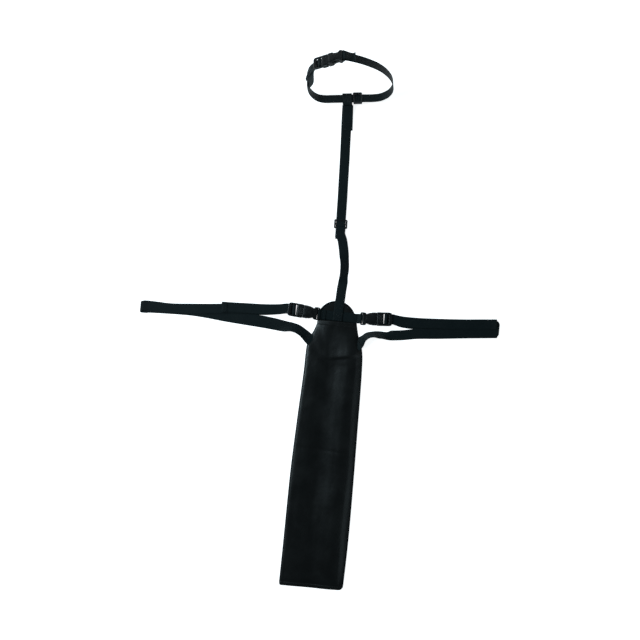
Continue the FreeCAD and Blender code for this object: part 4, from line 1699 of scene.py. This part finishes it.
@dataclass
class Bridle:
    """The cross strap and the two parts of the back strap with its slider."""

    wardrobe: Wardrobe
    left: Buckle
    right: Buckle
    tail_reach: float = 30.0
    upper_reach: float = 244.0
    rise_reach: float = 24.0
    join_reach: float = 45.0

    def __post_init__(self) -> None:
        """Finds the slider's place and the upper strap's direction."""
        low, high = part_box("back_slider")
        along = Vector(joint("back_length")["axis"]).normalized()
        across = along.cross(Vector((0, 0, 1)))
        middle = Vector(((low.x + high.x) / 2, (low.y + high.y) / 2, 0))
        turn = Matrix((across, along, Vector((0, 0, 1)))).transposed().to_4x4()
        self.place = Matrix.Translation(middle) @ turn
        self.pivot = Vector(joint("collar_swing")["pos_m"])

    def spot(self, y: float, z: float, x: float = 0.0) -> Vector:
        """A point beside the slider, in millimetres along the upper strap."""
        return self.place @ (Vector((x, y, z)) * MM)

    def cross_strap(self) -> bpy.types.Object:
        """Builds the cross strap, folded round both fixed bars and sewn back on itself.

        Returns:
            The strap.
        """
        left = self.left.bar_wrap(13.0)
        right = self.right.bar_wrap(11.5)[::-1]
        middle = [
            at(-24, 0.3, 2.45), at(-10, 0.1, 2.15), at(4, -0.1, 2.1), at(20, -0.4, 2.15), at(34, -0.6, 2.55)
        ]
        points = left + middle + right
        dense = spline_points(points, 1.4 * MM)
        line = Line(dense, Vector((0, 1, 0)))
        line.sides = [Vector((0, 1, 0)) for _ in dense]
        piece = Strap("cross_webbing", line, seed=21).build()
        self.wardrobe.dress(piece, Slot.WEBBING)
        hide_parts("cross_strap")
        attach(piece, "harness")
        return piece

    def lower_strap(self) -> bpy.types.Object:
        """Builds the lower back strap, from its sewn end to the slider's near bar.

        Returns:
            The strap.
        """
        route = [
            (4.4, -9.5, 3.75), (4.6, 0, 3.7), (4.8, 9.5, 3.6), (5.1, 15, 2.7), (5.6, 24, 2.25),
            (6.1, 31, 2.75)
        ]
        route += [
            (6.6, 37, 1.7), (7.5, 56, 0.9), (9.2, 76, 1.6), (9.6, 93, 4.2), (8.9, 109, 4.4), (6.9, 122, 2.6)
        ]
        route += [(3.2, 142, 3.0), (-0.8, 158, 3.7)]
        points = [at(*p) for p in route]
        near = [(-20, 4.2), (-13, 4.7), (-9.6, 5.5), (-8.0, 5.75), (-6.6, 5.3), (-5.9, 4.2)]
        points += [self.spot(y, z, 0.4) for y, z in near]
        self.low_line = Line(
            spline_points(points, 2.0 * MM), Vector((-1, 0, 0)),
            [(0.0, 0.0), (0.072, 0.0), (0.1, 26.0), (0.12, 24.0), (0.148, 0.0)]
        )
        piece = Strap("back_webbing_lower", self.low_line, seed=31).build()
        self.wardrobe.dress(piece, Slot.WEBBING)
        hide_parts("back_strap_lower")
        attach(piece, "harness")
        return piece

    def upper_strap(self) -> list[bpy.types.Object]:
        """Builds the upper back strap, its turned tail end and the doubled end below the collar.

        Returns:
            The strap, the tail's fold and the doubled layer.
        """
        flat = self.upper_reach - self.rise_reach
        marks = [
            (-self.tail_reach, 0.85), (-24, 1.9), (-12, 2.2), (0, 2.4), (20, 2.3), (58, 2.2), (80, 1.2)
        ]
        marks += [
            (120, 1.0), (170, 0.85), (flat - 24, 0.85), (flat, 0.9), (flat + 12, 2.6),
            (self.upper_reach - 2, 6.0)
        ]
        marks += [(self.upper_reach + 2, 6.7)]
        points = [self.spot(y, z, 0.5 * math.sin(y / 55.0)) for y, z in marks]
        self.up_line = Line(spline_points(points, 2.0 * MM), -Vector(self.place.col[0][:3]))
        widths = [(0.0, 20.0), (0.2, 20.4), (0.25, 21.2)]
        piece = Strap("back_webbing_upper", self.up_line, seed=41, widths=widths, start=End.ROUND).build()
        self.wardrobe.dress(piece, Slot.WEBBING)
        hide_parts("back_strap_upper")
        turn_marks = [
            (-self.tail_reach + 9, 2.3), (-self.tail_reach + 2, 2.25), (-self.tail_reach - 0.6, 1.7),
            (-self.tail_reach - 0.4, 0.9)
        ]
        turn_line = Line(
            spline_points([self.spot(y, z) for y, z in turn_marks], 0.8 * MM),
            -Vector(self.place.col[0][:3])
        )
        turn = Strap("back_tail_turn", turn_line, width=19.6, thickness=1.2, seed=43).build()
        self.wardrobe.dress(turn, Slot.WEBBING)
        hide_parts("back_tail_hem")
        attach(turn, "back_strap")
        start = self.upper_reach - self.join_reach - 4.0
        over = [
            (start, 2.35), (flat - 14, 2.4), (flat - 2, 2.5), (flat + 10, 4.0), (self.upper_reach - 3, 8.2),
            (self.upper_reach + 2, 8.9)
        ]
        over_points = [self.spot(y, z, 3.0 - 0.4 * k) for k, (y, z) in enumerate(over)]
        self.over_line = Line(spline_points(over_points, 2.0 * MM), -Vector(self.place.col[0][:3]))
        doubled = Strap("back_webbing_doubled", self.over_line, seed=47, width=20.6).build()
        self.wardrobe.dress(doubled, Slot.WEBBING)
        for strap in (piece, doubled):
            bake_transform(strap)
        return [piece, turn, doubled]

    def slider(self) -> bpy.types.Object:
        """Builds the back strap's slider."""
        return TriGlide("back_triglide", "back_slider", "harness", self.place, self.wardrobe).build()

    def stitching(self) -> list[bpy.types.Object]:
        """Sews the straps to the tongue, the returns round the bars and the doubled end.

        Returns:
            The stitching on the harness and on the upper strap.
        """
        tongue = Stitching("tongue_box_stitching", length=2.2, gap=0.6)
        for row in sewn_box(self.low_line, 2.0 * MM, 17.5 * MM, 8.0 * MM, 0.95 * MM):
            tongue.row_on(row)
        for row in sewn_box(self.low_line, 25.0 * MM, 34.0 * MM, 8.0 * MM, 0.95 * MM, cross=False):
            tongue.row_on(row)
        for buckle, reach in ((self.left, 12.0), (self.right, 10.5)):
            for near in (5.5, reach - 1.5):
                ends = [buckle.point(-near, -0.42, -8.2), buckle.point(-near, -0.42, 8.2)]
                tongue.row([ends[0].lerp(ends[1], k / 6) for k in range(7)], Vector((0, 0, 1)))
        tongue_piece = tongue.build()
        self.wardrobe.dress(tongue_piece, Slot.THREAD)
        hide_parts("tongue_bartack")
        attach(tongue_piece, "harness")
        loop = Stitching("back_loop_stitching", length=2.2, gap=0.6)
        for row in sewn_box(self.over_line, 2.0 * MM, 17.0 * MM, 8.0 * MM, 0.95 * MM):
            loop.row_on(row)
        loop_piece = loop.build()
        self.wardrobe.dress(loop_piece, Slot.THREAD)
        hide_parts("back_loop_bartack")
        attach(loop_piece, "back_strap")
        return [tongue_piece, loop_piece]

    def build(self) -> list[bpy.types.Object]:
        """Builds the straps, the slider and the stitching."""
        straps = [self.cross_strap(), self.lower_strap(), *self.upper_strap()]
        return [*straps, self.slider(), *self.stitching()]


# ---------------------------------------------------------------- collar


@dataclass
class Collar:
    """The standing collar: band with a straight foot, buckle, slider and the loop that holds it."""

    wardrobe: Wardrobe
    buckle: Buckle
    slider_at: float = 20.9
    right_marks: tuple[tuple[float, float], ...] = (
        (54, 0), (69, 3), (84, 14), (92, 33), (89, 57), (79, 77), (62, 96), (38, 112), (15, 123),
    )
    left_marks: tuple[tuple[float, float], ...] = (
        (-75, 94), (-81, 76), (-82.5, 57), (-81, 39), (-77, 25), (-69, 12), (-59, 3.5), (-46, 0),
    )

    def __post_init__(self) -> None:
        """Finds the hoop's plane from its joints and the strap loop."""
        low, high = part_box("back_strap_loop")
        self.origin = (Vector(low) + Vector(high)) / 2
        self.level = Vector(joint("collar_swing")["axis"]).normalized()
        self.axis = self.buckle.across.copy()
        self.rise = self.axis.cross(self.level).normalized()

    def spot(self, a: float, b: float, c: float = 0.0) -> Vector:
        """A point of the hoop's plane, in millimetres from the middle of its foot."""
        return self.origin + (self.level * a + self.rise * b + self.axis * c) * MM

    def _strap(
        self, name: str, points: list[Vector], lean: float = 0.0, **settings: object
    ) -> bpy.types.Object:
        """A strap whose width lies along the hoop's axis, or leans into the hoop where it is loose."""
        dense = spline_points(points, 1.6 * MM)
        line = Line(dense, self.axis)
        middle = self.spot(0, 60)
        line.sides = []
        for k, point in enumerate(dense):
            angle = math.radians(lean) * max(0.0, math.sin(math.pi * min(k / len(dense) / 0.62, 1.0)))
            inward = (middle - point).normalized()
            line.sides.append((self.axis * math.cos(angle) + inward * math.sin(angle)).normalized())
        piece = Strap(name, line, **settings).build()
        self.wardrobe.dress(piece, Slot.WEBBING)
        return piece

    def band(self) -> bpy.types.Object:
        """Builds the band from its sewn return at the fixed bar, round the hoop, to the left side.

        Returns:
            The band.
        """
        returned = [
            self.spot(13.4, 131.0), self.spot(10.6, 128.4), self.spot(6, 129.0), self.spot(0.5, 131.3)
        ]
        wrap = self.buckle.bar_wrap(4.0)[3:11]
        right = [self.spot(*mark) for mark in reversed(self.right_marks)]
        foot = [self.spot(a, 0) for a in (36, 14, -8, -30)]
        left = [self.spot(*mark) for mark in reversed(self.left_marks[2:])]
        piece = self._strap("collar_band", returned + wrap + right + foot + left, seed=51, waver=0.1)
        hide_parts("collar_band_right", "collar_band_left")
        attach(piece, "collar")
        return piece

    def ladder_side(self) -> list[bpy.types.Object]:
        """Builds the band's upper left run into the ladder, and the threaded tail outside it.

        Returns:
            The run and the tail.
        """
        wrap = self.buckle.ladder_wrap()
        run = [self.spot(*mark) for mark in reversed(self.left_marks[:3])]
        into = wrap[-2:-6:-1]
        piece = self._strap("collar_band_end", run + into, seed=57, waver=0.1)
        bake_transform(piece)
        tail = [
            self.spot(-81.5, 50, 3), self.spot(-79.5, 62, 8), self.spot(-77.0, 77, 12),
            self.spot(-72.4, 93.4, 10)
        ]
        tail_piece = self._strap("collar_threaded_tail", tail + wrap[1:-2], lean=44.0, seed=59, waver=0.1)
        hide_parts("collar_tail")
        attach(tail_piece, "collar_tab")
        return [piece, tail_piece]

    def slider(self) -> bpy.types.Object:
        """Builds the collar's slider on the foot, beside the strap loop."""
        turn = Matrix((self.axis, self.level, self.rise)).transposed().to_4x4()
        place = Matrix.Translation(self.spot(self.slider_at, -2.25)) @ turn
        return TriGlide("collar_triglide", "collar_slider", "collar_slider", place, self.wardrobe).build()

    def loop(self) -> bpy.types.Object:
        """Builds the end of the back strap where it goes round the band.

        Returns:
            The loop.
        """
        marks = [
            (15.8, -0.6), (12.2, -1.9), (6.0, -1.95), (0.0, -1.9), (-7.0, -1.95), (-11.3, -1.7),
            (-12.3, 0.0)
        ]
        marks += [(-11.3, 1.7), (-6.0, 1.95), (0.0, 1.95), (7.0, 2.1), (12.0, 2.5), (16.0, 1.6)]
        points = [self.spot(-0.4, b, c) for c, b in marks]
        line = Line(spline_points(points, 1.0 * MM), -self.level)
        piece = Strap("collar_strap_loop", line, seed=61, width=19.8).build()
        self.wardrobe.dress(piece, Slot.WEBBING)
        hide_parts("back_strap_loop")
        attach(piece, "collar_loop")
        return piece

    def stitching(self) -> bpy.types.Object:
        """Sews the band's return beside the fixed bar.

        Returns:
            The stitching.
        """
        sewing = Stitching("collar_stitching", length=2.2, gap=0.6)
        for a, b in ((10.6, 127.9), (3.4, 131.0)):
            sewing.row(
                [self.spot(a, b, (k - 3) * 2.7) for k in range(7)],
                (self.rise * 0.92 + self.level * 0.38).normalized()
            )
        piece = sewing.build()
        self.wardrobe.dress(piece, Slot.THREAD)
        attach(piece, "collar")
        return piece

    def build(self) -> list[bpy.types.Object]:
        """Builds the collar's pieces."""
        return [self.band(), *self.ladder_side(), self.slider(), self.loop(), self.stitching()]


# ---------------------------------------------------------------- stage


@dataclass(frozen=True)
class Softbox:
    """A soft rectangular light."""

    name: str
    place: tuple[float, float, float]
    aim: tuple[float, float, float]
    size: float
    power: float


@dataclass
class Studio:
    """The pale floor, the soft lights and the camera overhead."""

    view_at: tuple[float, float] = (-31.5, -11.3)
    camera_height: float = 2000.0
    view_width: float = 1331.2
    roll: float = 5.28
    sensor: float = 36.0
    clip_end: float = 50.0
    floor_reach: float = 12.0
    floor_shade: float = 0.92
    floor_roughness: float = 0.9
    floor_specular: float = 0.1
    floor_glow: float = 0.85
    sky_strength: float = 0.1
    lights: tuple[Softbox, ...] = (
        Softbox("left_key", (-1.55, 0.35, 1.45), (0.0, -0.1, 0.0), 0.9, 38.0),
        Softbox("right_fill", (2.0, -0.9, 1.5), (0.0, 0.0, 0.0), 1.6, 8.0),
        Softbox("far_fill", (0.3, 2.3, 1.4), (0.0, 0.1, 0.0), 1.2, 6.0),
    )

    def build(self) -> None:
        """Sets up the floor, lights, sky and camera."""
        mesh = bpy.data.meshes.new("floor")
        reach = self.floor_reach
        corners = [(-reach, -reach, 0), (reach, -reach, 0), (reach, reach, 0), (-reach, reach, 0)]
        mesh.from_pydata(corners, [], [(0, 1, 2, 3)])
        floor = new_piece("floor", mesh)
        material = bpy.data.materials.new("pale floor")
        material.use_nodes = True
        shader = material.node_tree.nodes["Principled BSDF"]
        shader.inputs["Base Color"].default_value = (
            self.floor_shade, self.floor_shade, self.floor_shade, 1
        )
        shader.inputs["Roughness"].default_value = self.floor_roughness
        shader.inputs["Specular IOR Level"].default_value = self.floor_specular
        shader.inputs["Emission Color"].default_value = (1, 1, 1, 1)
        shader.inputs["Emission Strength"].default_value = self.floor_glow
        floor.data.materials.append(material)
        for box in self.lights:
            lamp = bpy.data.lights.new(box.name, "AREA")
            lamp.shape = "SQUARE"
            lamp.size = box.size
            lamp.energy = box.power
            lamp.color = LIGHT_TINT
            light = bpy.data.objects.new(box.name, lamp)
            light.location = box.place
            light.rotation_euler = (Vector(box.aim) - Vector(box.place)).to_track_quat("-Z", "Y").to_euler()
            bpy.context.scene.collection.objects.link(light)
        world = bpy.data.worlds.new("sky")
        world.use_nodes = True
        world.node_tree.nodes["Background"].inputs["Color"].default_value = (*LIGHT_TINT, 1)
        world.node_tree.nodes["Background"].inputs["Strength"].default_value = self.sky_strength
        bpy.context.scene.world = world
        bpy.context.scene.view_settings.view_transform = "Standard"
        data = bpy.data.cameras.new("camera")
        data.sensor_width = self.sensor
        data.lens = self.sensor * self.camera_height / self.view_width
        data.clip_end = self.clip_end
        camera = bpy.data.objects.new("camera", data)
        camera.location = at(*self.view_at, self.camera_height)
        camera.rotation_euler = (0.0, 0.0, math.radians(self.roll))
        bpy.context.scene.collection.objects.link(camera)
        bpy.context.scene.camera = camera


def left_leg(buckle: Buckle, wardrobe: Wardrobe) -> LegLoop:
    """The left leg loop, with the routes of its straps."""
    return LegLoop(
        side="left",
        buckle=buckle,
        wardrobe=wardrobe,
        tail=[(-236, -2.6, 4.3), (-215, -1.9, 3.9), (-180, -0.6, 3.3), (-150, 0.4, 3.1), (-118, 3.4, 3.6)],
        upper=[(-118, 3.0, 2.1), (-150, -1.4, 1.3), (-180, -2.2, 1.5), (-215, -4.6, 2.1), (-260, -9.0, 2.4),
               (-300, -12.6, 2.5), (-342, -15.6, 2.6), (-372, -14.8, 3.0), (-392, -14.4, 3.6),
               (-400, -15.2, 4.2), (-404, -16.6, 3.9), (-405.2, -18.0, 2.6), (-404, -19.2, 1.2),
               (-399, -19.6, 0.85), (-390, -19.2, 0.8)],
        lower=[(-402, -19.4, 0.8), (-368, -17.6, 0.8), (-297, -16.2, 0.8), (-229, -21.2, 0.8),
               (-190, -23.4, 0.8), (-150, -25.8, 0.9), (-124, -28.4, 1.6), (-104, -30.8, 3.0),
               (-88, -31.2, 6.6), (-76, -34.2, 8.0), (-65, -40.4, 7.2), (-55, -48.4, 5.2),
               (-45, -57.0, 4.2)],
        twists=[(0.0, 0.0), (0.285, 0.0), (0.318, -34.0), (0.336, -32.0), (0.365, -6.0)],
        widths=[(0.0, 21.0), (0.15, 22.0), (0.21, 24.4), (0.25, 25.4), (0.28, 24.6), (0.31, 22.4),
                (0.34, 21.0), (0.37, 22.5)],
        seed=71,
    )


def right_leg(buckle: Buckle, wardrobe: Wardrobe) -> LegLoop:
    """The right leg loop, with the routes of its straps."""
    return LegLoop(
        side="right",
        buckle=buckle,
        wardrobe=wardrobe,
        tail=[(334, 12.9, 3.5), (312, 11.2, 2.6), (265, 6.9, 2.5), (205, 2.8, 2.5), (168, 1.2, 2.5),
              (136, 1.6, 3.2)],
        upper=[(136, -0.4, 1.7), (168, -1.9, 0.9), (215, 1.4, 0.85), (265, 6.0, 0.85), (305, 9.8, 0.85),
               (326, 11.0, 0.9), (336.0, 9.8, 1.3), (339.8, 6.2, 2.4), (340.2, 1.6, 3.4),
               (336.6, -2.8, 3.8), (327, -5.0, 3.0)],
        lower=[(337, -4.6, 2.8), (322, -6.2, 2.4), (300, -8.4, 2.1), (267, -11.8, 1.8), (215, -17.6, 1.2),
               (170, -22.0, 0.85), (138, -27.6, 0.9), (112, -30.2, 2.0), (94, -30.8, 7.4),
               (80, -31.0, 10.6), (69, -34.6, 10.4), (61, -42.6, 7.6), (54, -52.0, 5.2), (47, -61.0, 4.4)],
        twists=[(0.0, 0.0), (0.21, 0.0), (0.245, 44.0), (0.262, 58.0), (0.277, 52.0), (0.302, 4.0)],
        widths=[(0.0, 21.0), (0.24, 21.0), (0.29, 22.5)],
        seed=83,
    )


def main() -> None:
    """Builds the harness piece by piece and reports each."""
    logging.basicConfig(level=logging.INFO, format="%(name)s: %(message)s")
    Studio().build()
    wardrobe = Wardrobe()
    left = Buckle("left", "harness", "left_loop", wardrobe)
    right = Buckle("right", "harness", "right_loop", wardrobe)
    upper = Buckle("collar", "collar", "collar_tab", wardrobe)
    pieces = Sleeve(wardrobe).build()
    for buckle in (left, right, upper):
        pieces += buckle.build()
    pieces += left_leg(left, wardrobe).build()
    pieces += right_leg(right, wardrobe).build()
    bridle = Bridle(wardrobe, left, right)
    pieces += bridle.build()
    pieces += Collar(wardrobe, upper).build()
    for piece in pieces:
        vertices = piece.data.vertices
        top = max(v.co.z for v in vertices) / MM
        LOG.info("%s: %d vertices, %.1f mm high at most", piece.name, len(vertices), top)


if __name__ == "__main__":
    main()
